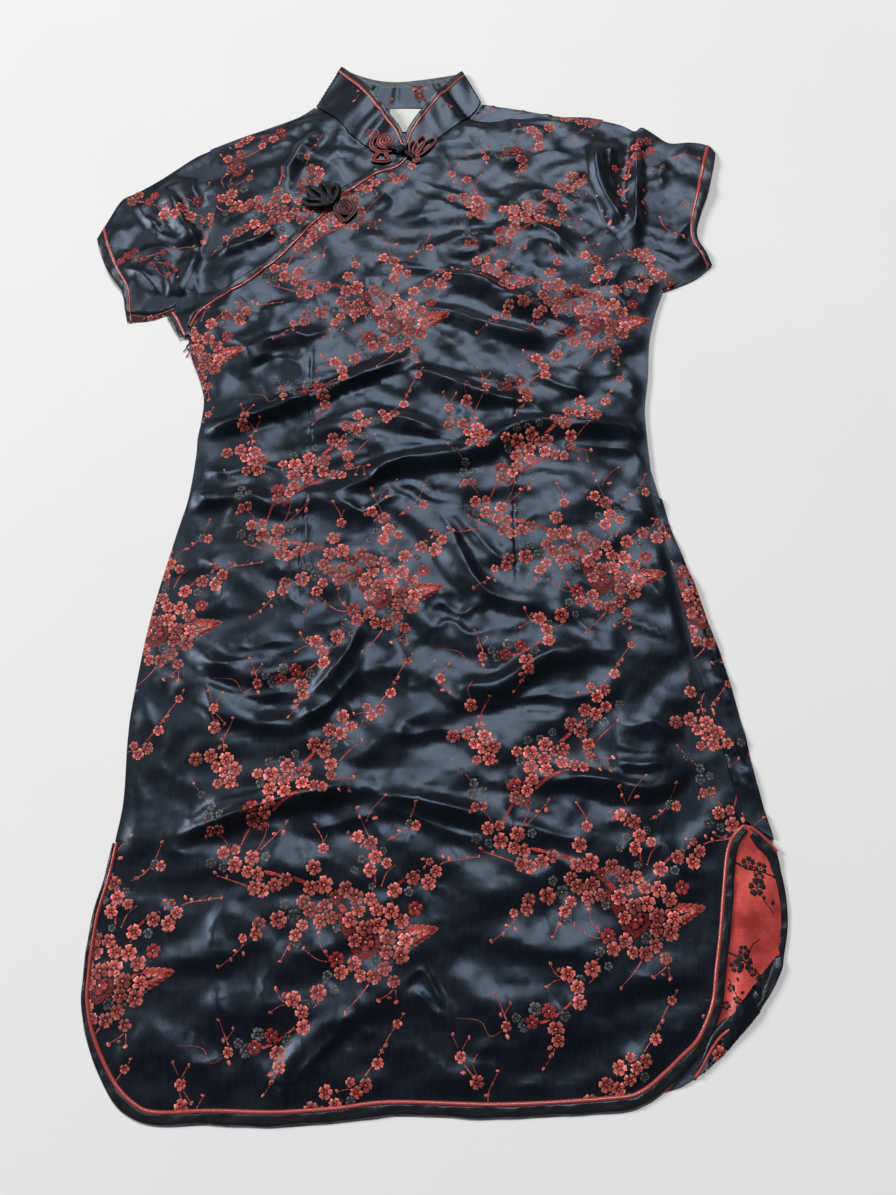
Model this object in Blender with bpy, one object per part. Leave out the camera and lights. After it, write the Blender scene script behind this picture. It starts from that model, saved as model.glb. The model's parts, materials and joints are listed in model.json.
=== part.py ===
"""A short-sleeved cheongsam of brocade, laid flat on its back with the front up.

Frame: +X is the viewer's right, +Y runs to the collar, +Z is up, and z = 0 is the surface that
the back panel rests on. The origin is on that flat underside, near the middle of the waist.
The tables are in millimetres, and the meshes are made in metres.
"""
import math

import bmesh
import bpy
import numpy as np
from mathutils import Vector
from mathutils.bvhtree import BVHTree
from mathutils.geometry import delaunay_2d_cdt

# ---- driving dimensions, mm ----
MM = 0.001
CLOTH = 1.5            # wall of every cut piece
GAP = 0.3              # clearance at seams and between layers
LAYER = CLOTH + GAP    # height of one layer on another
PIPING = 2.4           # width of the coral piping
PIPING_RISE = 0.6      # how far the piping stands above its cloth
BINDING_RISE = 0.3     # how far a binding stands above its cloth
COLLAR_BINDING = 5.0
CUFF_BINDING = 8.5
BACK_BINDING = 8.5
OVERLAP = 15.0         # how far the yoke runs on under the front panel
OVERLAP_CLEAR = 4.0    # how far past the yoke's hidden edge the front panel starts to come down
OVERLAP_FADE = 22.0    # length over which it does
BILLOW = 2.0           # how far the front stands off the back in the middle
BILLOW_HALF = 212.0    # half width over which it does
EDGE_FADE = 16.0       # width along an outline in which it comes down to the back
LABEL_CENTRE = -24.0   # the label's place across the neck
LABEL_TOP = 436.5
LABEL_WIDTH = 32.0
LABEL_HEIGHT = 30.0
LABEL_THICK = 1.0
CORD_RADIUS = 1.5      # cord that the frogs are bent from
BUTTON_RADIUS = 5.2
BUTTON_TALL = 6.0
COLLAR_LIFT = 0.4      # how far the collar's foot stands above the neck edge
RIM_STEP = 15.0        # spacing of points along an outline
GRID_STEP = 26.0       # spacing of points inside a piece with folds
FLAT_STEP = 48.0       # spacing of points inside the flat back panel
MARK_STEP = 7.0        # least spacing of the points that mark a fold
MERGE = 1.8            # outline points nearer than this are one
FOLD_RADIUS = 1.6      # round edge where the back's cloth turns over
FOLD_WIDTH = 2 * FOLD_RADIUS
FOLD_STEP = 19.0       # spacing of points along that edge
FOLD_SHORT = 0.13      # how much of its first and last span that edge leaves out
FOLD_LOW = 0.05        # height of that edge's underside
SLEEVE_FADE = 0.14     # share of a sleeve's width in which its upper layer comes down

# ---- outlines, columns x, y; all of them run anticlockwise round the dress ----
LEFT_SIDE = (
    (-223, 159), (-219, 139), (-210, 117), (-204, 96), (-204, 75), (-206, 55), (-206, 35),
    (-209, -4), (-217, -42), (-231, -115), (-238, -184), (-239, -217), (-237, -265), (-240, -297),
)
RIGHT_SEAM = (
    (254, -281), (246, -249), (237, -200), (227, -161), (218, -97), (208, -40), (203, -2), (201, 26),
)
RIGHT_WAIST = ((201, 26), (200, 55), (200, 85), (205, 117), (209, 155), (217, 188), (226, 213))
RIGHT_FOLD = (
    (275, -295), (272, -280), (266, -249), (262, -217), (256, -184), (249, -150), (239, -115),
    (230, -79), (218, -42), (209, -4),
)
ARMHOLE_RIGHT = (
    (226, 213), (204, 243), (188, 267), (172, 295), (164, 325), (158, 356), (161, 384),
    (171, 404), (180, 422),
)
SHOULDER_RIGHT = ((180, 422), (161, 425.5), (148, 427.5), (126, 430.5), (95, 435), (56, 444))
SHOULDER_SEAM = ((130, 425), (110, 424), (85, 421), (62, 419), (44, 421.5))
NECK_RIGHT = ((44, 426), (22, 405), (2, 386), (-8, 381), (-16, 378.5))
NECK_LEFT = (
    (-27, 377.5), (-42, 378), (-59, 381), (-75, 394), (-91, 414), (-107, 430), (-118, 438),
)
SHOULDER_LEFT = ((-118, 438), (-134, 425), (-163, 411), (-192, 398), (-222, 383))
ARMHOLE_LEFT = ((-222, 383), (-213, 336), (-211, 297), (-216, 261), (-231, 215), (-243, 190))
BACK_NECK = ((56, 444), (40, 440), (-30, 437.5), (-100, 437), (-118, 438))
BACK_UNDERARM = ((-243, 188), (-236, 178), (-228, 166), (-222, 156))
BACK_HEM = (
    (-239, -297), (-246, -345), (-248, -395), (-240, -433), (-220, -462), (-192, -481),
    (-150, -484), (-105, -485), (-61, -482), (-20, -478), (60, -480), (137, -478), (178, -471),
)
BACK_SLIT = ((263.5, -384), (267, -362), (269, -345), (268, -328), (264.5, -313), (271, -301))

# ---- trimmed edges, columns x, y, binding width; the line is the middle of the piping ----
HEM_TRIM = (
    (-238.5, -298, 1.5), (-242, -325, 2), (-247, -350, 2.5), (-248.5, -375, 2.5),
    (-248.5, -395, 2.5), (-247.5, -410, 3), (-242, -429, 4), (-233, -447, 5), (-220, -466, 6),
    (-206, -478, 7), (-190, -484, 7), (-150, -483, 7), (-105, -484, 7.5), (-61, -481.5, 7),
    (-20, -477.5, 7), (60, -479, 7), (137, -475, 7), (159, -471, 7), (178, -458, 7.5),
    (190, -448, 7), (202, -438, 6.5), (211, -424, 6.5), (217, -410, 7), (221, -390, 7),
    (227, -361, 7.5), (233, -327, 7.5), (237.5, -305, 7.5), (243.5, -292.5, 6.5), (251.5, -285, 4.5),
)
PLACKET_TRIM = (
    (-19.5, 374, 5), (-21, 367, 6), (-31, 356, 6.5), (-49, 347, 6.5), (-64, 338, 6.5),
    (-82, 323, 6.5), (-95, 307, 6.5), (-123, 274, 6.5), (-145, 246, 6.5), (-174, 218, 6.5),
    (-203, 197, 6), (-217, 181, 4), (-222, 171, 2),
)
UNDERARM_TRIM = ((-227, 163, 4), (-231.5, 172, 5), (-236, 181, 5), (-241, 188.5, 5))
CORNER_TRIM = (
    (263.5, -401.5, 4), (254, -411, 5), (238, -423, 4.5), (221, -434, 3.2), (213.5, -442, 2),
    (208.5, -449, 1), (204, -455.5, 1), (199, -461.5, 1),
)
CORNER_FOLD = (
    (190, -468.5), (206, -459), (212, -454), (224, -445), (238, -432), (252, -418),
    (262, -404), (268, -393), (272.5, -384),
)
# the back's slit edge, columns x, y, height: it comes off the folded side and goes down flat
BACK_SLIT_PIPING = ((257.5, -285.2), (264.5, -291.2), (271, -297.7), (276, -304.5))
BACK_SLIT_BINDING = (
    (259.5, -289, 1.8), (264, -293, 1.8), (270, -299.5, 1.8), (275, -308, 1.8), (279, -326, 0),
    (279.8, -345, 0), (278, -362, 0), (273, -381, 0),
)

# ---- sleeves: shoulder fold, cuff and underarm fold, columns x, y ----
SLEEVE_LEFT_TOP = (
    (-222, 383), (-238, 373), (-268, 347), (-291, 330), (-305, 321), (-315, 298), (-324, 274),
)
SLEEVE_LEFT_CUFF = ((-324, 274), (-314, 247), (-305, 230), (-292, 212), (-287, 192), (-284, 179))
SLEEVE_LEFT_UNDER = ((-243, 190), (-254, 184), (-268, 180), (-284, 179))
SLEEVE_RIGHT_TOP = (
    (180, 422), (199, 416), (212, 408), (219, 414), (232, 404), (246, 393), (268, 394),
    (285, 390), (292, 380),
)
SLEEVE_RIGHT_CUFF = (
    (292, 380), (288, 362), (281, 335), (270, 304), (264, 280), (269, 262), (276, 243),
)
SLEEVE_RIGHT_UNDER = ((226, 213), (243, 220), (260, 229), (276, 243))

# ---- the main folds of the upper layer: name, half width, height, then the ridge's x, y ----
FOLDS = (
    ("bust_left", 15, 4.0, ((-176, 128), (-150, 146), (-122, 158), (-85, 174))),
    ("bust_right", 15, 5.5, ((-12, 189), (30, 182), (66, 166), (112, 154))),
    ("bust_upper_right", 18, 6.5, ((-14, 206), (30, 220), (70, 204), (126, 170))),
    ("bust_top_right", 17, 5.0, ((8, 258), (55, 271), (105, 282), (150, 262))),
    ("waist_notch", 14, 6.5, ((-204, 58), (-160, 74), (-106, 94), (-55, 120), (-14, 139))),
    ("waist_right", 15, 5.5, ((-16, 128), (22, 110), (58, 92), (100, 86))),
    ("waist_low_left", 15, 4.5, ((-118, 52), (-70, 66), (-15, 70), (34, 52))),
    ("waist_long", 17, 7.0, ((-92, -4), (-38, 22), (30, 34), (92, 62), (190, 64))),
    ("hip_left", 15, 4.5, ((-214, -12), (-170, -4), (-128, -10), (-74, 0))),
    ("hip_curl", 16, 5.0, ((10, -34), (34, -76), (64, -98), (110, -104))),
    ("swag_upper", 14, 4.0, ((-196, -138), (-160, -160), (-122, -160), (-88, -142))),
    ("swag_lower", 16, 5.5, ((-198, -172), (-150, -196), (-108, -204), (-76, -176), (-56, -130))),
    ("lap_right", 16, 5.0, ((14, -166), (58, -176), (100, -152), (156, -138))),
    ("slit_cross", 14, 4.5, ((52, -252), (110, -248), (170, -258), (206, -246))),
    ("hem_rise_left", 15, 6.5, ((-196, -292), (-150, -276), (-100, -262), (-46, -254))),
    ("hem_rise_right", 16, 5.5, ((-48, -262), (8, -270), (72, -288), (120, -292))),
    ("hem_fold", 14, 4.0, ((-46, -414), (-78, -436), (-98, -458), (-92, -474))),
    ("yoke_fold", 13, 4.0, ((-206, 256), (-178, 266), (-146, 284))),
    ("yoke_drop", 13, 4.0, ((-104, 408), (-128, 374), (-144, 338))),
    ("sleeve_left_fold", 15, 5.0, ((-262, 330), (-246, 296), (-226, 262))),
    ("sleeve_left_low", 13, 4.0, ((-224, 262), (-232, 226), (-240, 204))),
    ("sleeve_right_press", 12, 4.5, ((216, 396), (208, 350), (205, 306), (202, 272))),
    ("sleeve_right_cap", 14, 4.5, ((170, 392), (172, 350), (184, 304), (200, 272))),
    ("neck_rise", 26, 2.0, ((-66, 386), (-24, 372), (18, 386))),
)

# ---- collar: foot and upper edge of the band, columns foot x, foot y, edge x, edge y, rise ----
COLLAR_LEFT = (
    (-26.5, 378.2, -24.5, 390, 1.0),
    (-42, 378.7, -27.5, 401, 3.0),
    (-59, 381.8, -37, 417, 4.5),
    (-75, 394.8, -48, 434, 5.5),
    (-91, 414.8, -60, 452, 5.5),
    (-105, 430, -75, 473, 3.5),
    (-115, 438.6, -91, 491, 1.0),
)
COLLAR_BACK = (
    (-115, 438.6, -91, 491, 0),
    (-98, 438.0, -72, 482, 0),
    (-70, 438.2, -52, 475.5, 0),
    (-30, 438.4, -30, 474, 0),
    (16, 440.2, 0, 478, 0),
    (40, 441.2, 20, 482, 0),
    (53, 444.6, 34, 485, 0),
)
COLLAR_RIGHT = (
    (53, 444.6, 34, 485, 1.0),
    (48.5, 434.5, 23, 472, 3.5),
    (36, 419, 11, 455, 5.5),
    (21, 405, 0, 438, 5.5),
    (2.5, 387, -12, 418, 4.5),
    (-9, 381, -21, 402, 3.0),
    (-18, 379, -23.8, 391, 1.0),
)

# ---- frogs, mm in plan ----
NECK_SPIRAL = (-46, 391)
NECK_PETALS = (-4, 387)
NECK_BUTTON = (-27.5, 378)
BUST_PETALS = (-114, 337)
BUST_SWIRL = (-80, 308)
BUST_BUTTON = (-96, 322)

# ---- colours: red, green, blue, roughness ----
BROCADE = (0.020, 0.024, 0.034, 0.38)
SATIN = (0.022, 0.022, 0.026, 0.35)
CORAL = (0.55, 0.13, 0.12, 0.45)
WHITE = (0.85, 0.85, 0.83, 0.70)
BLACK = (0.010, 0.009, 0.011, 0.50)


# ---- curves in plan ----
def curve(points, step):
    """A smooth curve through the points, as evenly spaced rows, ends included."""
    knots = np.array(points, float)
    if len(knots) == 2:
        dense = np.linspace(knots[0], knots[1], 40)
    else:
        padded = np.vstack([2 * knots[0] - knots[1], knots, 2 * knots[-1] - knots[-2]])
        t = np.linspace(0, 1, 24, endpoint=False)[:, None]
        spans = []
        for a, b, c, d in zip(padded, padded[1:], padded[2:], padded[3:]):
            cubic = (3 * b - a - 3 * c + d) * t + (2 * a - 5 * b + 4 * c - d)
            spans.append(0.5 * ((cubic * t + (c - a)) * t + 2 * b))
        dense = np.vstack(spans + [knots[-1:]])
    run = np.concatenate([[0], np.cumsum(np.linalg.norm(np.diff(dense[:, :2], axis=0), axis=1))])
    count = max(2, int(round(run[-1] / step)) + 1)
    at = np.linspace(0, run[-1], count)
    return np.column_stack([np.interp(at, run, dense[:, k]) for k in range(dense.shape[1])])


def normals(path):
    """The plan normal at each point of an open path, to the left of its direction."""
    along = np.gradient(path[:, :2], axis=0)
    along /= np.linalg.norm(along, axis=1)[:, None]
    return np.column_stack([-along[:, 1], along[:, 0]])


def shifted(path, distance):
    """The path moved to its left by distance, one value or one for each point."""
    moved = path.copy()
    moved[:, :2] += normals(path) * np.reshape(distance, (-1, 1))
    return moved


def distance_to(path, x, y):
    """The distance from each x, y to a path, and how far along the path, 0 to 1, it is nearest."""
    point = np.column_stack([np.ravel(x), np.ravel(y)])
    best = np.full(len(point), 1e9)
    where = np.zeros(len(point))
    lengths = np.linalg.norm(np.diff(path[:, :2], axis=0), axis=1)
    start = np.concatenate([[0], np.cumsum(lengths)])
    for k, length in enumerate(lengths):
        a = path[k, :2]
        ab = path[k + 1, :2] - a
        t = np.clip(((point - a) @ ab) / length ** 2, 0, 1)
        gap = np.linalg.norm(point - a - t[:, None] * ab, axis=1)
        nearer = gap < best
        best[nearer] = gap[nearer]
        where[nearer] = (start[k] + t[nearer] * length) / start[-1]
    return best, where


def smooth_step(t):
    t = np.clip(t, 0, 1)
    return t * t * (3 - 2 * t)


# ---- how high the upper layer stands ----
RIDGES = [(half, height, curve(ridge, 14)) for _, half, height, ridge in FOLDS]
PLACKET_LINE = curve(PLACKET_TRIM, 10)
RIM_PATHS = [
    curve(table, 14)
    for table in (LEFT_SIDE, HEM_TRIM, RIGHT_SEAM, RIGHT_WAIST, SHOULDER_RIGHT, SHOULDER_LEFT)
]


def lift(x, y):
    """Height of the upper layer's underside above its flat position, from billow and folds."""
    x = np.asarray(x, float)
    y = np.asarray(y, float)
    across = np.clip(1 - ((x - 2) / BILLOW_HALF) ** 4, 0, 1)
    ends = smooth_step((y + 484) / 70) * smooth_step((436 - y) / 50)
    total = BILLOW * across * ends
    for half, height, ridge in RIDGES:
        gap, where = distance_to(ridge, x, y)
        shape = np.cos(np.clip(gap / half, 0, 1) * math.pi / 2) ** 2
        taper = smooth_step(np.minimum(where, 1 - where) / 0.22)
        total = total + np.reshape(height * shape * (0.25 + 0.75 * taper), x.shape)
    return total


def edge_fade(x, y):
    """0 along the sides, hem and shoulders, where the two layers meet, and 1 well inside them."""
    gap = np.min([distance_to(rim, x, y)[0] for rim in RIM_PATHS], axis=0)
    return np.reshape(smooth_step(gap / EDGE_FADE), np.shape(x))


def yoke_low(x, y):
    return LAYER + lift(x, y) * edge_fade(x, y)


def front_low(x, y):
    gap, _ = distance_to(PLACKET_LINE, x, y)
    above = (LAYER + GAP) * (1 - smooth_step((gap - OVERLAP - OVERLAP_CLEAR) / OVERLAP_FADE))
    return yoke_low(x, y) + np.reshape(above, np.shape(x))


def flat_low(x, y):
    return np.zeros(np.shape(x))


# ---- solids ----
def finish(name, vertices, faces, look):
    """One object from vertices in mm and faces, turned outward, with its own material."""
    mesh = bpy.data.meshes.new(name)
    mesh.from_pydata([tuple(v) for v in np.asarray(vertices) * MM], [], faces)
    work = bmesh.new()
    work.from_mesh(mesh)
    bmesh.ops.recalc_face_normals(work, faces=work.faces)
    bmesh.ops.triangulate(work, faces=work.faces)
    work.to_mesh(mesh)
    work.free()
    mesh.shade_smooth()
    mesh.set_sharp_from_angle(angle=math.radians(40))
    obj = bpy.data.objects.new(name, mesh)
    bpy.context.scene.collection.objects.link(obj)
    material = bpy.data.materials.new(name)
    material.use_nodes = True
    shader = material.node_tree.nodes["Principled BSDF"]
    shader.inputs["Base Color"].default_value = (*look[:3], 1)
    shader.inputs["Roughness"].default_value = look[3]
    shader.inputs["Metallic"].default_value = 0
    mesh.materials.append(material)
    return obj


def inside(outline, x, y):
    """Which points lie inside a closed outline."""
    hit = np.zeros(len(x), bool)
    for (x1, y1), (x2, y2) in zip(outline, np.roll(outline, -1, axis=0)):
        if y1 == y2:
            continue
        at = (x2 - x1) * (y - y1) / (y2 - y1) + x1
        hit ^= ((y1 > y) != (y2 > y)) & (x < at)
    return hit


def thinned(points, apart):
    """The points in order, without any that lies closer than apart to one kept before it."""
    kept = points[:1]
    for point in points[1:]:
        if np.min(np.linalg.norm(kept - point, axis=1)) > apart:
            kept = np.vstack([kept, point])
    return kept


def filling(outline, step, follow_folds):
    """Points inside an outline: along the ridges and feet of the folds, then an even grid."""
    row_step = step * math.sqrt(0.75)
    xs = np.arange(outline[:, 0].min(), outline[:, 0].max(), step)
    ys = np.arange(outline[:, 1].min(), outline[:, 1].max(), row_step)
    grid = np.array([(x + (k % 2) * step / 2, y) for k, y in enumerate(ys) for x in xs])
    if follow_folds:
        marks = [shifted(ridge, half * side) for half, _, ridge in RIDGES for side in (0, -1, 1)]
        marks.append(shifted(PLACKET_LINE, OVERLAP + OVERLAP_CLEAR)[:, :2])
        marks += [shifted(ridge, half * side) for half, _, ridge in RIDGES for side in (-0.5, 0.5)]
        marks = thinned(np.vstack(marks), MARK_STEP)
        far = [np.min(np.linalg.norm(marks - point, axis=1)) > step / 2 for point in grid]
        grid = np.vstack([marks, grid[far]])
    gap, _ = distance_to(np.vstack([outline, outline[:1]]), grid[:, 0], grid[:, 1])
    return grid[inside(outline, grid[:, 0], grid[:, 1]) & (gap > RIM_STEP / 2)]


def sheet(name, outline, low, thick, look, step, follow_folds=False):
    """A piece of cloth: its outline filled with points, its underside at low and a wall above."""
    inner = filling(outline, step, follow_folds)
    count = len(outline)
    points = [Vector(p) for p in np.vstack([outline, inner])]
    edges = [(k, (k + 1) % count) for k in range(count)]
    verts, _, tris, *_ = delaunay_2d_cdt(points, edges, [], 0, 0.01)
    plan = np.array([tuple(v) for v in verts])
    tris = np.array(tris)
    centre = plan[tris].mean(axis=1)
    tris = tris[inside(outline, centre[:, 0], centre[:, 1])]
    sides = {(a, b) for tri in tris for a, b in zip(tri, np.roll(tri, -1))}
    rim = sorted((int(a), int(b)) for a, b in sides if (b, a) not in sides)
    z = low(plan[:, 0], plan[:, 1])
    bottom = np.column_stack([plan, z])
    top = np.column_stack([plan, z + thick])
    n = len(plan)
    faces = [(int(c), int(b), int(a)) for a, b, c in tris]
    faces += [(int(a) + n, int(b) + n, int(c) + n) for a, b, c in tris]
    faces += [(a, b, b + n, a + n) for a, b in rim]
    return finish(name, np.vstack([bottom, top]), faces, look)


def loft(name, rings, look, capped=True):
    """A solid through rings of equally many points, capped at its ends or joined end to start."""
    rings = np.asarray(rings, float)
    count, around = rings.shape[:2]
    faces = []
    for k in range(count - 1 if capped else count):
        here = k * around
        there = ((k + 1) % count) * around
        for j in range(around):
            after = (j + 1) % around
            faces.append((here + j, here + after, there + after, there + j))
    if capped:
        faces.append(tuple(reversed(range(around))))
        faces.append(tuple((count - 1) * around + j for j in range(around)))
    return finish(name, rings.reshape(-1, 3), faces, look)


def strip(name, path, near, far, low, look):
    """A flat binding beside a path, between two distances to its left, softly rounded on top."""
    inner = shifted(path, near)
    outer = shifted(path, far)
    if callable(low):
        z_in = low(inner[:, 0], inner[:, 1])
        z_out = low(outer[:, 0], outer[:, 1])
    else:
        z_in = z_out = np.maximum(low, 0)
    thick = CLOTH + BINDING_RISE
    rings = []
    for p, q, a, b in zip(inner, outer, z_in, z_out):
        middle = (p + q) / 2
        rings.append((
            (p[0], p[1], a),
            (q[0], q[1], b + thick * 0.15),
            (q[0], q[1], b + thick * 0.7),
            (middle[0], middle[1], (a + b) / 2 + thick),
            (p[0], p[1], a + thick * 0.9),
        ))
    return loft(name, rings, look)


def bead(name, path, low, look, width=PIPING, tall=CLOTH + PIPING_RISE, sides=6):
    """A round cord along a path, its underside on low."""
    z = low(path[:, 0], path[:, 1]) if callable(low) else np.broadcast_to(low, len(path))
    rings = []
    for p, n, base in zip(path, normals(path), z):
        section = []
        for k in range(sides):
            angle = 2 * math.pi * (k + 0.5) / sides
            out = width / 2 * math.cos(angle)
            up = tall / 2 * (1 + math.sin(angle))
            section.append((p[0] + n[0] * out, p[1] + n[1] * out, base + up))
        rings.append(section)
    return loft(name, rings, look)


def joined(body, *pieces):
    """The body with the pieces united to it; the pieces stay as hidden cutters."""
    for piece in pieces:
        piece.hide_render = True
        piece.display_type = "WIRE"
        union = body.modifiers.new(piece.name, "BOOLEAN")
        union.operation = "UNION"
        union.solver = "EXACT"
        union.object = piece
    return body


# ---- the back, with what comes round to the front ----
def edge(table, inward=GAP / 2):
    """An outline's stretch, moved inward."""
    return shifted(curve(table, RIM_STEP), inward)[:, :2]


def seam_edge(table, inward=GAP / 2):
    """An armhole's stretch, with points where the sleeve's sections have theirs."""
    fine = curve(table, 3)
    run = np.concatenate([[0], np.cumsum(np.linalg.norm(np.diff(fine, axis=0), axis=1))])
    at = np.array((0.0, *SLEEVE_ACROSS, 1.0)) * run[-1]
    path = np.column_stack([np.interp(at, run, fine[:, 0]), np.interp(at, run, fine[:, 1])])
    return shifted(path, inward)


def outline_of(*parts):
    """Stretches joined end to end into one closed outline, without near doubles."""
    return thinned(np.vstack([part[:, :2] for part in parts]), MERGE)


def fold_bead(name, table):
    """The round edge that joins a layer to the one turned over it, a little short at its ends."""
    path = shifted(curve(table, FOLD_STEP), FOLD_RADIUS)[:, :2]
    path[0] += (path[1] - path[0]) * FOLD_SHORT
    path[-1] += (path[-2] - path[-1]) * FOLD_SHORT
    return bead(name, path, FOLD_LOW, BROCADE, FOLD_WIDTH, FOLD_WIDTH)


def over_low(x, y):
    """The underside of cloth that is turned over onto the flat back."""
    return np.full(np.shape(x), LAYER)


def make_back():
    outline = outline_of(
        edge(LEFT_SIDE, 2 * GAP), edge(BACK_HEM), edge(CORNER_FOLD, FOLD_RADIUS),
        edge(BACK_SLIT, 0), edge(RIGHT_FOLD, FOLD_RADIUS), edge(RIGHT_WAIST),
        seam_edge(ARMHOLE_RIGHT), edge(SHOULDER_RIGHT, FOLD_RADIUS), edge(BACK_NECK),
        edge(SHOULDER_LEFT), seam_edge(ARMHOLE_LEFT), edge(BACK_UNDERARM),
    )
    back = sheet("back_panel", outline, flat_low, CLOTH, BROCADE, FLAT_STEP)
    seam = edge(RIGHT_SEAM[:-1], -GAP / 2)
    side = outline_of(edge(RIGHT_FOLD[::-1], -FOLD_RADIUS)[::-1], seam[::-1])
    side_over = sheet("cutter_side", side, over_low, CLOTH, BROCADE, FLAT_STEP)
    shoulder = outline_of(edge(SHOULDER_RIGHT[3:], FOLD_RADIUS), edge(SHOULDER_SEAM[::-1]))
    shoulder_over = sheet("cutter_shoulder", shoulder, over_low, CLOTH, BROCADE, FLAT_STEP)
    beside = PIPING / 2 + GAP
    corner = outline_of(edge(CORNER_FOLD[1:6], FOLD_RADIUS), edge(CORNER_TRIM[2:-2], beside))
    corner_over = sheet("cutter_corner", corner, over_low, CLOTH, BROCADE, FLAT_STEP)
    joined(
        back, side_over, shoulder_over, corner_over,
        fold_bead("cutter_side_fold", RIGHT_FOLD),
        fold_bead("cutter_shoulder_fold", SHOULDER_RIGHT[3:]),
        fold_bead("cutter_corner_fold", CORNER_FOLD[2:5]),
    )


def make_back_trim():
    beside = PIPING / 2 + GAP
    corner = curve(CORNER_TRIM, RIM_STEP)
    bead("corner_piping", corner, over_low, CORAL)
    strip("corner_binding", corner, -beside, -beside - corner[:, 2], over_low, SATIN)
    piping = curve(BACK_SLIT_PIPING, 8)
    bead("back_slit_piping", piping, over_low, CORAL)
    slit = curve(BACK_SLIT_BINDING, RIM_STEP)
    strip("back_slit_binding", slit, -GAP, -BACK_BINDING, slit[:, 2], SATIN)


# ---- the front and the yoke under it ----
def make_front():
    beside = PIPING / 2 + GAP
    outline = outline_of(
        edge(PLACKET_TRIM, beside), edge(LEFT_SIDE, 0), edge(HEM_TRIM, beside), edge(RIGHT_SEAM),
        edge(RIGHT_WAIST), seam_edge(ARMHOLE_RIGHT), edge(SHOULDER_RIGHT[:2]), edge(SHOULDER_SEAM),
        edge(NECK_RIGHT, GAP),
    )
    sheet("front_panel", outline, front_low, CLOTH, BROCADE, GRID_STEP, True)
    placket = curve(PLACKET_TRIM, RIM_STEP)
    bead("placket_piping", placket, front_low, CORAL)
    strip("placket_binding", placket, -beside, -beside - placket[:, 2], front_low, SATIN)
    hem = curve(HEM_TRIM, RIM_STEP)
    bead("hem_piping", hem, front_low, CORAL)
    strip("hem_binding", hem, -beside, -beside - hem[:, 2], over_low, SATIN)


def make_yoke():
    beside = PIPING / 2 + GAP
    under = edge(PLACKET_TRIM, OVERLAP)[::-1]
    outline = outline_of(
        edge(NECK_LEFT, GAP), edge(SHOULDER_LEFT, 0), seam_edge(ARMHOLE_LEFT),
        edge(UNDERARM_TRIM[::-1], beside), under,
    )
    sheet("yoke", outline, yoke_low, CLOTH, BROCADE, GRID_STEP, True)
    trim = curve(UNDERARM_TRIM[::-1], 9)
    bead("underarm_piping", trim, yoke_low, CORAL)
    strip("underarm_binding", trim, -beside, -beside - trim[:, 2], yoke_low, SATIN)


# ---- sleeves: flattened tubes over a patch between four curves ----
class Sleeve:
    """The plan of a sleeve: u runs from the shoulder fold to the underarm fold, v to the cuff."""

    def __init__(self, top, cuff, under, armhole):
        self.top = self.even(top)
        self.cuff = self.even(cuff)
        self.under = self.even(under)
        self.armhole = self.even(armhole)

    @staticmethod
    def even(table):
        path = curve(table, 3)
        run = np.concatenate([[0], np.cumsum(np.linalg.norm(np.diff(path, axis=0), axis=1))])
        return run / run[-1], path

    @staticmethod
    def on(line, t):
        run, path = line
        return np.array([np.interp(t, run, path[:, 0]), np.interp(t, run, path[:, 1])])

    def plan(self, u, v):
        """The Coons patch through the four curves."""
        ends = (1 - v) * self.on(self.armhole, u) + v * self.on(self.cuff, u)
        folds = (1 - u) * self.on(self.top, v) + u * self.on(self.under, v)
        corners = (1 - u) * ((1 - v) * self.on(self.top, 0) + v * self.on(self.top, 1))
        corners += u * ((1 - v) * self.on(self.under, 0) + v * self.on(self.under, 1))
        return ends + folds - corners


SLEEVE_ACROSS = (0.03, 0.09, 0.17, 0.27, 0.38, 0.50, 0.62, 0.73, 0.83, 0.91, 0.97)
SLEEVE_SECTIONS = 8


def sleeve_lift(u, x, y):
    """The height of a sleeve's upper layer: the common folds, fading at its own two folds."""
    return float(lift(x, y)) * float(smooth_step(min(u, 1 - u) / SLEEVE_FADE))


def sleeve_ring(sleeve, v, wall, proud):
    """One section of the tube at v, as outer points and inner points."""
    outer = []
    inner = []
    fold_in = wall / np.linalg.norm(sleeve.plan(1, v) - sleeve.plan(0, v))
    rise = LAYER + CLOTH + proud
    for u in SLEEVE_ACROSS:
        x, y = sleeve.plan(u, v)
        up = sleeve_lift(u, x, y)
        outer.append((x, y, rise + up))
        x, y = sleeve.plan(0.5 + (u - 0.5) * (1 - fold_in), v)
        inner.append((x, y, LAYER + up))
    for ring, u in ((outer, 1.0), (inner, 1.0 - fold_in)):
        x, y = sleeve.plan(u, v)
        ring.append((x, y, (LAYER + CLOTH) / 2))
    for u in reversed(SLEEVE_ACROSS):
        x, y = sleeve.plan(u, v)
        outer.append((x, y, 0))
        x, y = sleeve.plan(0.5 + (u - 0.5) * (1 - fold_in), v)
        inner.append((x, y, CLOTH))
    for ring, u in ((outer, 0.0), (inner, fold_in)):
        x, y = sleeve.plan(u, v)
        ring.append((x, y, (LAYER + CLOTH) / 2))
    return outer, inner


def tube(name, sleeve, stations, look, proud=0.0):
    """A flattened tube with a wall, open at both ends, through the sections at the stations."""
    rings = [sleeve_ring(sleeve, v, CLOTH, proud) for v in stations]
    loop = [outer for outer, _ in rings] + [inner for _, inner in reversed(rings)]
    return loft(name, loop, look, capped=False)


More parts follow.
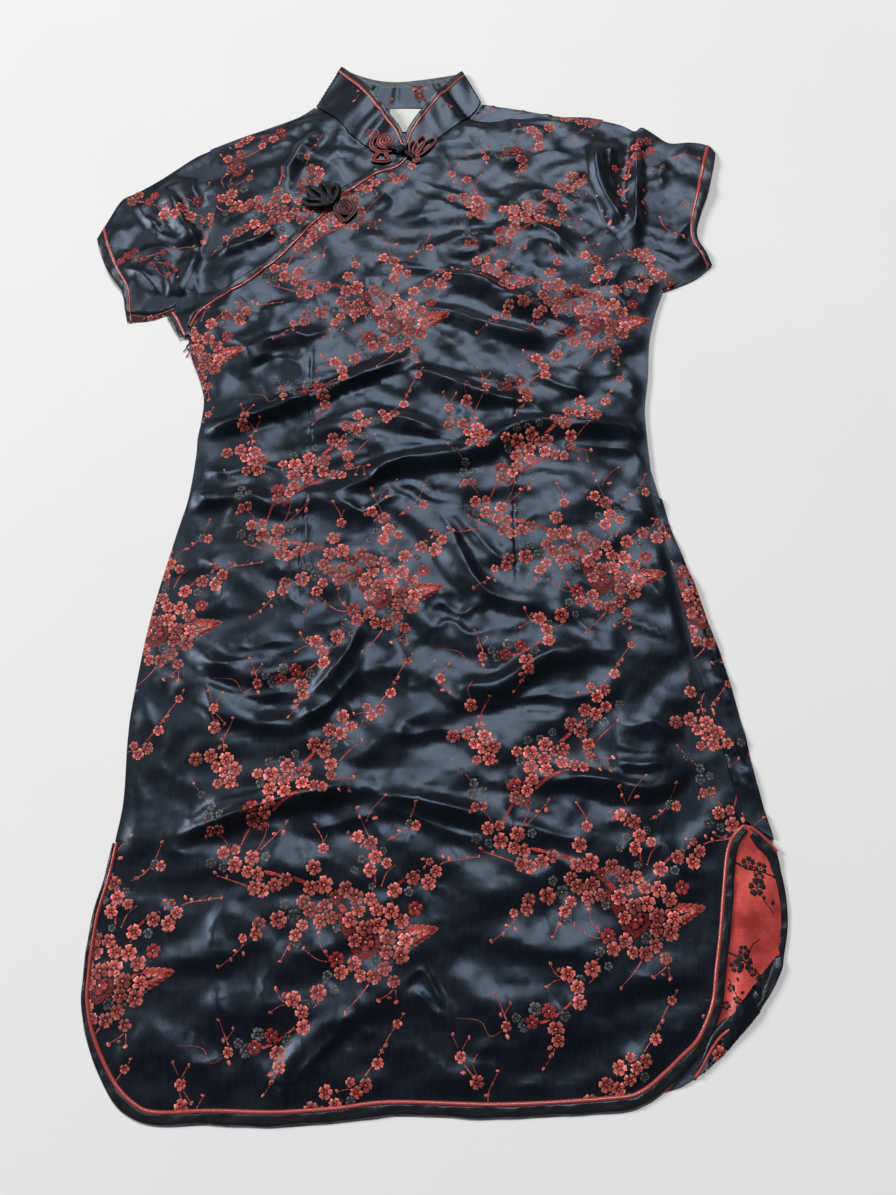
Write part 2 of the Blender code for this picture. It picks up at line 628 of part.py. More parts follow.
def make_sleeve(side, sleeve):
    """The sleeve, then a ring of piping and a ring of binding at its cuff."""
    length = np.linalg.norm(sleeve.plan(0.5, 1) - sleeve.plan(0.5, 0))
    binding = 1 - CUFF_BINDING / length
    piping = binding - (PIPING + GAP) / length
    seam = GAP / length
    tube(f"sleeve_{side}", sleeve, np.linspace(seam, piping - seam, SLEEVE_SECTIONS), BROCADE)
    middle = piping + PIPING / 2 / length
    piping_ends = [piping, middle, binding - GAP / length]
    tube(f"cuff_piping_{side}", sleeve, piping_ends, CORAL, PIPING_RISE)
    tube(f"cuff_binding_{side}", sleeve, [binding, (1 + binding) / 2, 1], SATIN, BINDING_RISE)


# ---- collar: one band round the neck, folded flat at both sides of the neck ----
COLLAR_BEND = (30, 90, 150)


def collar_stations():
    """Foot and edge points of the band's middle surface with its outward side, in order."""
    left = curve(COLLAR_LEFT, 9)
    back = curve(COLLAR_BACK, 14)
    right = curve(COLLAR_RIGHT, 9)
    rows = []
    half = CLOTH / 2

    def front(row):
        foot = float(yoke_low(row[0], row[1])) + half + COLLAR_LIFT
        return np.array((*row[:2], foot)), np.array((*row[2:4], foot + row[4]))

    def bend(row, angles):
        """The turn of the band from the upper layer to the lower one at a side of the neck."""
        foot, top = front(row)
        sign = -1 if row[0] < 0 else 1
        along = (top - foot)[:2]
        out = np.array((-along[1], along[0])) / np.linalg.norm(along)
        out *= sign * np.sign(out[0])
        for angle in angles:
            turn = math.radians(angle)
            pair = []
            for point in (foot, top):
                radius = (point[2] - half) / 2
                place = point[:2] + out * radius * math.sin(turn)
                pair.append(np.array((*place, half + radius * (1 + math.cos(turn)))))
            rows.append(pair)

    rows += [list(front(row)) for row in left]
    bend(left[-1], COLLAR_BEND)
    rows += [[np.array((*row[:2], half)), np.array((*row[2:4], half))] for row in back]
    bend(right[0], COLLAR_BEND[::-1])
    rows += [list(front(row)) for row in right]
    return np.array(rows)


def band(name, stations, below, above, proud, look):
    """A stretch of the collar's band, between two distances from its upper edge."""
    foot = stations[:, 0]
    top = stations[:, 1]
    rule = top - foot
    height = np.linalg.norm(rule, axis=1)[:, None]
    rule = rule / height
    along = np.gradient((foot + top) / 2, axis=0)
    out = np.cross(rule, along)
    out /= np.linalg.norm(out, axis=1)[:, None]
    if out[0, 2] < 0:
        out = -out
    low = np.maximum(height - below, 0) if below is not None else height * 0
    high = height - above
    rings = []
    for f, r, n, a, b in zip(foot, rule, out, low, high):
        column = [f + r * (a + (b - a) * t) for t in (0, 0.5, 1)]
        outer = [p + n * (CLOTH / 2 + proud * max(0, n[2])) for p in column]
        inner = [p - n * CLOTH / 2 for p in reversed(column)]
        rings.append(outer + inner)
    return loft(name, rings, look)


def make_collar():
    stations = collar_stations()
    piping_top = COLLAR_BINDING + GAP
    piping_foot = piping_top + PIPING
    band("collar", stations, None, piping_foot + GAP, 0, BROCADE)
    band("collar_piping", stations, piping_foot, piping_top, PIPING_RISE, CORAL)
    band("collar_binding", stations, COLLAR_BINDING, 0, BINDING_RISE, SATIN)


def make_label():
    left = LABEL_CENTRE - LABEL_WIDTH / 2
    right = LABEL_CENTRE + LABEL_WIDTH / 2
    foot = LABEL_TOP - LABEL_HEIGHT
    outline = np.array([(left, LABEL_TOP), (left, foot), (right, foot), (right, LABEL_TOP)])
    sheet("neck_label", outline, over_low, LABEL_THICK, WHITE, FLAT_STEP)


# ---- frogs: soft cord bent into flowers, laid on what is under them ----
def made_surface():
    """All the solids made so far, for laying a cord on them."""
    graph = bpy.context.evaluated_depsgraph_get()
    trees = []
    for obj in bpy.context.scene.objects:
        if obj.type == "MESH" and not obj.hide_render:
            trees.append(BVHTree.FromObject(obj, graph))
    return trees


def top_at(trees, x, y, reach):
    """The highest point of the solids within reach of x, y."""
    best = 0.0
    for angle in range(0, 361, 45):
        out = 0 if angle == 360 else reach
        turn = math.radians(angle)
        origin = Vector((x + out * math.cos(turn), y + out * math.sin(turn), 100)) * MM
        for tree in trees:
            hit = tree.ray_cast(origin, Vector((0, 0, -1)))[0]
            if hit is not None:
                best = max(best, hit.z / MM)
    return best


def cord(name, plan, look, radius=CORD_RADIUS, step=3.2, sides=5):
    """A cord along a plan path, lying on the solids made so far."""
    bpy.context.view_layer.update()
    trees = made_surface()
    path = curve(plan, step)
    rest = np.array([top_at(trees, x, y, radius + 0.2) for x, y in path])
    level = np.array([max(rest[max(0, k - 2):k + 3]) for k in range(len(rest))])
    return bead(name, path, level + GAP, look, 2 * radius, 2 * radius, sides)


def turned(centre, angle, points):
    """Plan points about the origin, turned by an angle in degrees and moved to a centre."""
    turn = math.radians(angle)
    return [
        (centre[0] + x * math.cos(turn) - y * math.sin(turn),
         centre[1] + x * math.sin(turn) + y * math.cos(turn))
        for x, y in points
    ]


def spiral(first, last, start, turns):
    """Plan points of a spiral, from one radius to another, starting at an angle in degrees."""
    count = int(turns * 14)
    rows = []
    for k in range(count + 1):
        radius = first + (last - first) * k / count
        angle = math.radians(start + 360 * turns * k / count)
        rows.append((radius * math.cos(angle), radius * math.sin(angle)))
    return rows


def petals(count, spread, inner, outer, width):
    """Plan points of one cord bent into a fan of petals, side by side."""
    rows = []
    for k in range(count):
        middle = 90 + spread * ((count - 1) / 2 - k)
        for radius, off in (
            (inner, 0.32), (outer * 0.72, 0.42), (outer, 0), (outer * 0.72, -0.42), (inner, -0.32),
        ):
            angle = math.radians(middle + width * off)
            rows.append((radius * math.cos(angle), radius * math.sin(angle)))
    return rows


def button(name, centre, look):
    """A knotted ball button, resting on the solids made so far."""
    bpy.context.view_layer.update()
    trees = made_surface()
    radius = BUTTON_RADIUS
    tall = BUTTON_TALL
    base = top_at(trees, *centre, radius * 0.7) + GAP
    base = max(base, top_at(trees, *centre, radius) + GAP - tall * 0.2)
    rings = []
    for k in range(1, 6):
        tilt = math.pi * k / 6
        ring = []
        for j in range(10):
            angle = 2 * math.pi * j / 10
            out = radius * math.sin(tilt)
            ring.append((
                centre[0] + out * math.cos(angle), centre[1] + out * math.sin(angle),
                base + tall / 2 * (1 - math.cos(tilt)),
            ))
        rings.append(ring)
    return loft(name, rings, look)


def make_frogs():
    cord("neck_frog_spiral", turned(NECK_SPIRAL, 0, spiral(1.9, 9.0, 200, 1.75)), BLACK)
    lobe = ((5.5, -11.6), (6.5, -16.5), (0, -18.2), (-7.0, -16.8), (-6.8, -11.8))
    cord("neck_frog_lobe", turned(NECK_SPIRAL, 0, lobe), BLACK)
    cord("neck_frog_petals", turned(NECK_PETALS, -10, petals(3, 62, 4.5, 14.5, 52)), BLACK)
    cord("bust_frog_petals", turned(BUST_PETALS, 45, petals(5, 58, 5.5, 17.5, 50)), BLACK)
    cord("bust_frog_swirl", turned(BUST_SWIRL, 60, spiral(1.9, 10.2, 60, 2.0)), BLACK)
    button("neck_frog_button", NECK_BUTTON, BLACK)
    button("bust_frog_button", BUST_BUTTON, BLACK)


def main():
    for obj in list(bpy.data.objects):
        bpy.data.objects.remove(obj, do_unlink=True)
    make_back()
    make_back_trim()
    make_yoke()
    make_front()
    make_sleeve("left", Sleeve(SLEEVE_LEFT_TOP, SLEEVE_LEFT_CUFF, SLEEVE_LEFT_UNDER, ARMHOLE_LEFT))
    make_sleeve(
        "right",
        Sleeve(SLEEVE_RIGHT_TOP, SLEEVE_RIGHT_CUFF, SLEEVE_RIGHT_UNDER, ARMHOLE_RIGHT[::-1]),
    )
    make_label()
    make_collar()
    make_frogs()


main()
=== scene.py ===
"""The looks of a short-sleeved brocade cheongsam, laid flat on its back with the front up.

Plan tables are in millimetres in the CAD's frame: +X is the viewer's right, +Y runs to the
collar and +Z is up. Every piece stands on the layers that the CAD gives it, with finer folds.
"""
import json
import math

import bpy
import numpy as np
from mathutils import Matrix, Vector
from mathutils.bvhtree import BVHTree
from mathutils.geometry import delaunay_2d_cdt

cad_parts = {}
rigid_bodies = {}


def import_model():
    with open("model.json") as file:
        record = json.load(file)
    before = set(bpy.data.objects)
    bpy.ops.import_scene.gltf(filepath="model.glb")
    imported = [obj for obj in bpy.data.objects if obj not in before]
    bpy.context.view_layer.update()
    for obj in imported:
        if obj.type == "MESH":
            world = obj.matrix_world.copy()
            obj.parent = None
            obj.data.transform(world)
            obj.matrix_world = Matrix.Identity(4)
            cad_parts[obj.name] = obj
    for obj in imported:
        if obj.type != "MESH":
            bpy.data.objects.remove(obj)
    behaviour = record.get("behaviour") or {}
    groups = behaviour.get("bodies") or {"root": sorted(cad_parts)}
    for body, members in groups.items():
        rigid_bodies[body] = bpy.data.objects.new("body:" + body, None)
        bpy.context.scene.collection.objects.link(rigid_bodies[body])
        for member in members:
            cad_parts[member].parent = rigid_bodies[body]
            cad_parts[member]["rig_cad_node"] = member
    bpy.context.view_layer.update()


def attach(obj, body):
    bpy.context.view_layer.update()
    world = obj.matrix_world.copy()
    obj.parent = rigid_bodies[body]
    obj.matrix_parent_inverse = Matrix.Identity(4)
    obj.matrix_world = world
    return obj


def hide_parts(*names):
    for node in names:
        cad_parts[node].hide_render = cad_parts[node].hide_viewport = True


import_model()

# ---- driving dimensions, mm ----
MM = 0.001
CLOTH = 1.5            # wall of the CAD's cloth
GAP = 0.3              # clearance between the CAD's layers
LAYER = CLOTH + GAP
THIN = 0.8             # thickness of the cloth that is seen
PIPING = 3.0           # width of the coral piping; the CAD's is 2.4
PIPING_RISE = 0.6      # how far the piping stands above its cloth
BINDING_RISE = 0.3     # how far a binding stands above its cloth
COLLAR_BINDING = 5.0
CUFF_BINDING = 8.5
BACK_BINDING = 7.0     # width of the back slit's binding; the CAD's is 8.5
OVERLAP = 15.0         # how far the yoke runs on under the front panel
OVERLAP_CLEAR = 4.0    # how far past the yoke's hidden edge the front panel starts to come down
OVERLAP_FADE = 22.0    # length over which it does
BILLOW = 3.8           # how far the front stands off the back in the middle
BILLOW_MIDDLE = 2.0    # the x of that middle
BILLOW_HALF = 212.0    # half width over which it does
BILLOW_HEM = (-484.0, 70.0)   # the y where it starts, and the length over which it comes up
BILLOW_NECK = (436.0, 50.0)   # the y where it ends, and the length over which it goes down
EDGE_FADE = 16.0       # width along an outline in which it comes down to the back
LABEL_CENTRE = -24.0   # the label's place across the neck
LABEL_TOP = 436.5
LABEL_WIDTH = 32.0
LABEL_HEIGHT = 30.0
LABEL_RISE = 0.75      # how far its face stands off the back's inner side
LABEL_THICK = 0.45
COLLAR_LIFT = 0.4      # how far the collar's foot stands above the neck edge
FOLD_RADIUS = 1.6      # round edge where the back's cloth turns over
FOLD_ROLL = 3.4        # width in which a folded edge rolls down
WRAP_DROP = 1.7        # how far it does where the back's cloth turns over
SLEEVE_DROP = 1.6      # how far it does along a sleeve's folds
SLEEVE_FADE = 18.0     # distance from a sleeve's fold in which its upper layer comes down
CLOTH_STEP = 5.2       # spacing of points in cloth that shows
HIDDEN_STEP = 12.0     # spacing of points in cloth that is covered
RIM_STEP = 3.0         # spacing of points along an outline
SEAM = 0.12            # half the width of a seam's groove
CREASE_ROUND = 1.6     # radius of a crease's ridge
CREASE_GAIN = 1.35     # what the creases' heights are multiplied by

# ---- outlines, columns x, y; all of them run anticlockwise round the dress ----
LEFT_SIDE = (
    (-223, 159), (-219, 139), (-210, 117), (-204, 96), (-204, 75), (-206, 55), (-206, 35),
    (-209, -4), (-217, -42), (-231, -115), (-238, -184), (-239, -217), (-237, -265), (-240, -297),
)
RIGHT_SEAM = (
    (254, -281), (246, -249), (237, -200), (227, -161), (218, -97), (208, -40), (203, -2), (201, 26),
)
RIGHT_WAIST = ((201, 26), (200, 55), (200, 85), (205, 117), (209, 155), (217, 188), (226, 213))
RIGHT_FOLD = (
    (275, -295), (272, -280), (266, -249), (262, -217), (256, -184), (249, -150), (239, -115),
    (230, -79), (218, -42), (209, -4),
)
ARMHOLE_RIGHT = (
    (226, 213), (204, 243), (188, 267), (172, 295), (164, 325), (158, 356), (161, 384),
    (171, 404), (180, 422),
)
SHOULDER_RIGHT = ((180, 422), (161, 425.5), (148, 427.5), (126, 430.5), (95, 435), (56, 444))
SHOULDER_SEAM = ((130, 425), (110, 424), (85, 421), (62, 419), (44, 421.5))
NECK_RIGHT = ((44, 426), (22, 405), (2, 386), (-8, 381), (-16, 378.5))
NECK_LEFT = (
    (-27, 377.5), (-42, 378), (-59, 381), (-75, 394), (-91, 414), (-107, 430), (-118, 438),
)
SHOULDER_LEFT = ((-118, 438), (-134, 425), (-163, 411), (-192, 398), (-222, 383))
ARMHOLE_LEFT = ((-222, 383), (-213, 336), (-211, 297), (-216, 261), (-231, 215), (-243, 190))
BACK_NECK = ((56, 444), (40, 440), (-30, 437.5), (-100, 437), (-118, 438))
BACK_UNDERARM = ((-243, 188), (-236, 178), (-228, 166), (-222, 156))
BACK_HEM = (
    (-239, -297), (-246, -345), (-248, -395), (-240, -433), (-220, -462), (-192, -481),
    (-150, -484), (-105, -485), (-61, -482), (-20, -478), (60, -480), (137, -478), (178, -471),
)
BACK_SLIT = ((263.5, -384), (267, -362), (269, -345), (268, -328), (264.5, -313), (271, -301))

# ---- trimmed edges, columns x, y, binding width; the line is the middle of the piping ----
HEM_TRIM = (
    (-238.5, -298, 1.5), (-242, -325, 2), (-247, -350, 2.5), (-248.5, -375, 2.5),
    (-248.5, -395, 2.5), (-247.5, -410, 3), (-242, -429, 4), (-233, -447, 5), (-220, -466, 6),
    (-206, -478, 7), (-190, -484, 7), (-150, -483, 7), (-105, -484, 7.5), (-61, -481.5, 7),
    (-20, -477.5, 7), (60, -479, 7), (137, -475, 7), (159, -471, 7), (178, -458, 7.5),
    (190, -448, 7), (202, -438, 6), (211, -424, 5.8), (217, -410, 5.8), (221, -390, 5.8),
    (227, -361, 5.8), (233, -327, 5.8), (237.5, -305, 5.8), (243.5, -292.5, 5.2), (251.5, -285, 4),
)
PLACKET_TRIM = (
    (-19.5, 374, 5), (-21, 367, 6), (-31, 356, 6.5), (-49, 347, 6.5), (-64, 338, 6.5),
    (-82, 323, 6.5), (-95, 307, 6.5), (-123, 274, 6.5), (-145, 246, 6.5), (-174, 218, 6.5),
    (-203, 197, 6), (-217, 181, 4), (-222, 171, 2),
)
UNDERARM_TRIM = ((-227, 163, 4), (-231.5, 172, 5), (-236, 181, 5), (-241, 188.5, 5))
CORNER_TRIM = (
    (263.5, -401.5, 4), (254, -411, 5), (238, -423, 4.5), (221, -434, 3.2), (213.5, -442, 2),
    (208.5, -449, 1), (204, -455.5, 1), (199, -461.5, 1),
)
CORNER_FOLD = (
    (190, -468.5), (206, -459), (212, -454), (224, -445), (238, -432), (252, -418),
    (262, -404), (268, -393), (272.5, -384),
)
# the back's slit edge, columns x, y, height: it comes off the folded side and goes down flat
BACK_SLIT_PIPING = ((257.5, -285.2), (264.5, -291.2), (271, -297.7), (276, -304.5))
BACK_SLIT_BINDING = (
    (259.5, -289, 1.8), (264, -293, 1.8), (270, -299.5, 1.8), (275, -308, 1.8), (279, -326, 0),
    (279.8, -345, 0), (278, -362, 0), (273, -381, 0),
)

# ---- sleeves: shoulder fold, cuff and underarm fold, columns x, y ----
SLEEVE_LEFT_TOP = (
    (-222, 383), (-238, 373), (-268, 347), (-291, 330), (-305, 321), (-315, 298), (-324, 274),
)
SLEEVE_LEFT_CUFF = ((-324, 274), (-314, 247), (-305, 230), (-292, 212), (-287, 192), (-284, 179))
SLEEVE_LEFT_UNDER = ((-243, 190), (-254, 184), (-268, 180), (-284, 179))
SLEEVE_RIGHT_TOP = (
    (180, 422), (199, 416), (212, 408), (219, 414), (232, 404), (246, 393), (268, 394),
    (285, 390), (292, 380),
)
SLEEVE_RIGHT_CUFF = (
    (292, 380), (288, 362), (281, 335), (270, 304), (264, 280), (269, 262), (276, 243),
)
SLEEVE_RIGHT_UNDER = ((226, 213), (243, 220), (260, 229), (276, 243))

# ---- collar: foot and upper edge of the band, columns foot x, foot y, edge x, edge y, rise ----
COLLAR_LEFT = (
    (-26.5, 378.2, -24.5, 390, 1.0),
    (-42, 378.7, -27.5, 401, 3.0),
    (-59, 381.8, -37, 417, 4.5),
    (-75, 394.8, -48, 434, 5.5),
    (-91, 414.8, -60, 452, 5.5),
    (-105, 430, -75, 473, 3.5),
    (-115, 438.6, -91, 491, 1.0),
)
COLLAR_BACK = (
    (-115, 438.6, -91, 491, 0),
    (-98, 438.0, -72, 482, 0),
    (-70, 438.2, -52, 475.5, 0),
    (-30, 438.4, -30, 474, 0),
    (16, 440.2, 0, 478, 0),
    (40, 441.2, 20, 482, 0),
    (53, 444.6, 34, 485, 0),
)
COLLAR_RIGHT = (
    (53, 444.6, 34, 485, 1.0),
    (48.5, 434.5, 23, 472, 3.5),
    (36, 419, 11, 455, 5.5),
    (21, 405, 0, 438, 5.5),
    (2.5, 387, -12, 418, 4.5),
    (-9, 381, -21, 402, 3.0),
    (-18, 379, -23.8, 391, 1.0),
)

# ---- the main folds, as the CAD has them: half width, height, then the ridge's x, y ----
FOLDS = (
    (15, 4.0, ((-176, 128), (-150, 146), (-122, 158), (-85, 174))),  # bust left
    (15, 5.5, ((-12, 189), (30, 182), (66, 166), (112, 154))),  # bust right
    (18, 6.5, ((-14, 206), (30, 220), (70, 204), (126, 170))),  # bust upper right
    (17, 5.0, ((8, 258), (55, 271), (105, 282), (150, 262))),  # bust top right
    (14, 6.5, ((-204, 58), (-160, 74), (-106, 94), (-55, 120), (-14, 139))),  # waist notch
    (15, 5.5, ((-16, 128), (22, 110), (58, 92), (100, 86))),  # waist right
    (15, 4.5, ((-118, 52), (-70, 66), (-15, 70), (34, 52))),  # waist low left
    (17, 7.0, ((-92, -4), (-38, 22), (30, 34), (92, 62), (190, 64))),  # waist long
    (15, 4.5, ((-214, -12), (-170, -4), (-128, -10), (-74, 0))),  # hip left
    (16, 5.0, ((10, -34), (34, -76), (64, -98), (110, -104))),  # hip curl
    (14, 4.0, ((-196, -138), (-160, -160), (-122, -160), (-88, -142))),  # swag upper
    (16, 5.5, ((-198, -172), (-150, -196), (-108, -204), (-76, -176), (-56, -130))),  # swag lower
    (16, 5.0, ((14, -166), (58, -176), (100, -152), (156, -138))),  # lap right
    (14, 4.5, ((52, -252), (110, -248), (170, -258), (206, -246))),  # slit cross
    (15, 6.5, ((-196, -292), (-150, -276), (-100, -262), (-46, -254))),  # hem rise left
    (16, 5.5, ((-48, -262), (8, -270), (72, -288), (120, -292))),  # hem rise right
    (14, 4.0, ((-46, -414), (-78, -436), (-98, -458), (-92, -474))),  # hem fold
    (13, 4.0, ((-206, 256), (-178, 266), (-146, 284))),  # yoke fold
    (13, 4.0, ((-104, 408), (-128, 374), (-144, 338))),  # yoke drop
    (15, 5.0, ((-262, 330), (-246, 296), (-226, 262))),  # sleeve left fold
    (13, 4.0, ((-224, 262), (-232, 226), (-240, 204))),  # sleeve left low
    (12, 4.5, ((216, 396), (208, 350), (205, 306), (202, 272))),  # sleeve right press
    (14, 4.5, ((170, 392), (172, 350), (184, 304), (200, 272))),  # sleeve right cap
    (26, 2.0, ((-66, 386), (-24, 372), (18, 386))),  # neck rise
)

# ---- creases on top of them: width to the left and right of the ridge, height, ridge's x, y ----
CREASES = (
    # bust
    (9, 14, 2.2, (-168, 140), (-150, 152), (-126, 160), (-108, 156), (-84, 172)),
    (8, 12, 2.0, (-8, 190), (24, 184), (42, 174), (66, 167), (92, 160), (118, 148)),
    (14, 9, 2.4, (-16, 212), (14, 224), (44, 222), (70, 208), (96, 188), (124, 178)),
    (10, 16, 1.6, (-196, 222), (-178, 200), (-160, 186), (-128, 196), (-100, 188)),
    (12, 8, 1.5, (-198, 176), (-186, 160), (-170, 150), (-158, 128)),
    (9, 12, 1.8, (-60, 244), (-28, 238), (6, 232), (40, 236)),
    (9, 9, 1.4, (14, 262), (36, 270), (52, 258), (30, 250), (14, 254)),
    (8, 12, 1.9, (56, 272), (84, 286), (112, 280), (136, 262), (150, 248)),
    (10, 8, 1.6, (88, 264), (112, 268), (134, 254), (146, 240)),
    (12, 9, 1.5, (122, 216), (146, 210), (168, 214), (188, 206)),
    (8, 11, 1.5, (60, 206), (84, 196), (104, 180), (126, 176), (150, 184)),
    (14, 10, 1.6, (-60, 330), (-34, 316), (-40, 302), (-56, 308)),
    (10, 10, 1.3, (-20, 342), (10, 330), (44, 318), (84, 322)),
    (11, 9, 1.2, (96, 330), (130, 322), (156, 300)),
    (9, 13, 1.3, (40, 372), (80, 366), (126, 376), (152, 372)),
    (8, 10, 1.2, (66, 398), (100, 404), (136, 400)),
    (9, 12, 1.6, (196, 250), (182, 232), (178, 214), (186, 198), (212, 190)),
    # waist
    (7, 13, 2.4, (-206, 58), (-172, 70), (-140, 78), (-112, 90), (-96, 96)),
    (7, 12, 2.6, (-104, 96), (-76, 108), (-48, 118), (-24, 132), (-10, 144)),
    (10, 8, 2.0, (-46, 116), (-20, 122), (6, 116), (34, 102), (60, 92), (94, 86), (118, 70)),
    (9, 8, 1.6, (-100, 64), (-74, 76), (-50, 82), (-30, 74), (-12, 68), (4, 62), (26, 54)),
    (9, 13, 2.6, (-96, -14), (-70, 2), (-46, 10), (-34, 26), (-2, 30), (28, 36), (56, 50)),
    (10, 7, 2.0, (-60, 0), (-40, 16), (-24, 26), (0, 36), (40, 40)),
    (7, 11, 2.2, (56, 50), (92, 66), (128, 70), (158, 62), (186, 60)),
    (9, 7, 1.8, (112, 58), (148, 64), (176, 66), (198, 52)),
    (8, 12, 1.8, (132, 46), (160, 44), (186, 40), (200, 20)),
    (12, 9, 1.7, (-36, 66), (-8, 60), (18, 52), (36, 48), (62, 58)),
    (8, 10, 1.4, (-34, 50), (-4, 48), (30, 46)),
    (11, 8, 1.6, (6, 130), (34, 118), (66, 108), (86, 112)),
    (10, 10, 1.3, (-170, 120), (-150, 138), (-120, 130), (-110, 118)),
    (12, 12, 1.2, (120, 130), (150, 118), (184, 122)),
    (8, 11, 1.5, (-206, 24), (-176, 18), (-148, 26), (-112, 14)),
    (9, 9, 1.5, (-208, -14), (-178, -8), (-150, -6), (-124, -22), (-96, -16)),
    (8, 10, 1.7, (-98, -16), (-72, -12), (-54, -20), (-32, -6), (-8, -4)),
    (8, 9, 1.5, (-34, 4), (-12, 6), (6, -6), (34, -10)),
    (7, 9, 1.6, (84, 112), (100, 116), (128, 104), (160, 96)),
    # hip
    (8, 11, 2.2, (6, -14), (22, -34), (32, -58), (44, -84), (58, -98), (84, -102)),
    (9, 8, 1.6, (28, -22), (50, -48), (68, -66), (90, -74)),
    (9, 7, 1.5, (2, -112), (14, -102), (30, -112), (46, -104), (62, -116)),
    (7, 8, 1.4, (4, -128), (22, -118), (38, -130), (60, -124)),
    (8, 8, 1.3, (-6, -100), (10, -92), (24, -98)),
    (9, 14, 2.6, (-54, -112), (-60, -138), (-74, -160), (-90, -178), (-104, -190)),
    (13, 8, 2.0, (-48, -150), (-62, -172), (-78, -190), (-104, -204)),
    (8, 10, 1.8, (-188, -150), (-168, -156), (-150, -152), (-128, -148), (-104, -150)),
    (8, 11, 1.7, (-192, -166), (-166, -178), (-140, -182), (-116, -180), (-100, -174)),
    (9, 11, 1.7, (-186, -186), (-158, -200), (-128, -206), (-104, -200)),
    (7, 9, 1.3, (-168, -134), (-146, -142), (-122, -136), (-100, -138)),
    (10, 9, 1.4, (-196, -60), (-180, -70), (-172, -96), (-188, -112)),
    (9, 9, 1.2, (-140, -66), (-122, -74), (-116, -96), (-96, -108)),
    (10, 9, 1.3, (-178, -30), (-150, -34), (-136, -50)),
    (9, 13, 2.0, (16, -176), (46, -174), (70, -166), (90, -152), (106, -146), (128, -140)),
    (9, 8, 1.5, (-14, -160), (8, -170), (26, -186), (48, -190), (82, -186)),
    (9, 10, 1.6, (62, -188), (94, -182), (120, -184), (148, -178)),
    (11, 9, 1.3, (92, -118), (118, -112), (140, -126), (166, -128)),
    (9, 9, 1.5, (148, -200), (168, -206), (186, -202), (204, -212), (226, -222)),
    (9, 8, 1.4, (150, -222), (176, -226), (200, -224)),
    (7, 10, 2.0, (96, -256), (122, -248), (150, -250), (176, -256), (200, -252), (206, -240)),
    (8, 8, 1.6, (206, -242), (192, -236), (170, -238), (146, -234)),
    (9, 10, 1.2, (-40, -206), (-14, -214), (16, -210), (44, -218)),
    (10, 9, 1.3, (170, -60), (192, -84), (204, -108)),
    (8, 12, 1.5, (206, -30), (204, -70), (210, -110), (222, -160)),
    # above the hem
    (6, 15, 3.4, (-198, -294), (-168, -284), (-134, -272), (-100, -262), (-72, -257), (-48, -253)),
    (8, 9, 1.8, (-186, -286), (-160, -268), (-128, -260), (-98, -256)),
    (8, 7, 2.0, (-50, -256), (-28, -262), (0, -266), (28, -272), (54, -280)),
    (7, 11, 2.0, (-44, -268), (-16, -276), (12, -286), (40, -294), (70, -298)),
    (8, 9, 1.5, (60, -280), (86, -286), (112, -294), (142, -292)),
    (12, 10, 1.7, (-96, -292), (-70, -284), (-46, -278), (-24, -272)),
    (10, 12, 1.2, (-212, -300), (-182, -306), (-152, -302)),
    (9, 9, 1.4, (152, -290), (172, -300), (188, -298), (194, -312), (214, -320), (234, -316)),
    (9, 10, 1.1, (-26, -318), (-10, -330), (-2, -344)),
    (6, 7, 1.5, (-12, -402), (-6, -392), (2, -390), (10, -402), (20, -420)),
    (6, 7, 1.3, (-10, -402), (2, -408), (10, -418), (20, -421)),
    (10, 12, 1.1, (-146, -396), (-150, -412), (-132, -424)),
    (7, 9, 1.8, (-92, -470), (-84, -456), (-66, -438), (-52, -426)),
    (7, 8, 1.4, (-98, -466), (-100, -474), (-92, -478)),
    (10, 9, 1.1, (-60, -418), (-46, -426), (-36, -440)),
    (11, 11, 1.1, (150, -392), (176, -396), (196, -408)),
    (11, 9, 1.0, (-190, -446), (-160, -452), (-136, -446)),
    (12, 10, 1.0, (34, -446), (58, -440), (82, -448)),
    (10, 12, 0.9, (80, -330), (92, -350), (98, -372)),
    # yoke
    (8, 12, 1.7, (-208, 252), (-184, 262), (-162, 270), (-146, 284)),
    (8, 9, 1.6, (-108, 404), (-126, 384), (-136, 360), (-146, 346)),
    (9, 9, 1.3, (-92, 408), (-80, 396), (-62, 386)),
    (9, 11, 1.5, (-214, 236), (-222, 224), (-216, 208), (-196, 206)),
    (10, 9, 1.3, (-208, 290), (-188, 300), (-166, 318)),
    (9, 9, 1.2, (-170, 376), (-150, 384), (-132, 398)),
    # left sleeve
    (9, 12, 2.2, (-264, 334), (-248, 312), (-238, 290), (-226, 272), (-222, 254)),
    (9, 8, 1.9, (-280, 300), (-262, 280), (-246, 270), (-232, 262)),
    (8, 10, 1.8, (-304, 262), (-284, 256), (-262, 262), (-240, 254)),
    (9, 9, 1.7, (-296, 238), (-276, 232), (-262, 218), (-250, 202)),
    (8, 9, 1.6, (-262, 250), (-250, 236), (-246, 216), (-250, 196)),
    (9, 9, 1.5, (-240, 352), (-232, 328), (-222, 306)),
    (9, 11, 1.6, (-290, 318), (-276, 296), (-256, 286)),
    # right sleeve
    (7, 9, 2.4, (217, 412), (211, 384), (208, 350), (206, 316), (203, 286), (201, 270)),
    (12, 9, 2.0, (176, 398), (168, 372), (168, 344), (178, 316), (190, 288)),
    (9, 9, 1.5, (190, 404), (184, 376), (184, 346), (192, 316)),
    (10, 9, 1.4, (244, 372), (232, 350), (238, 330)),
    (9, 12, 1.3, (262, 300), (248, 280), (240, 262)),
    (9, 9, 1.3, (214, 262), (232, 252), (244, 240)),
)

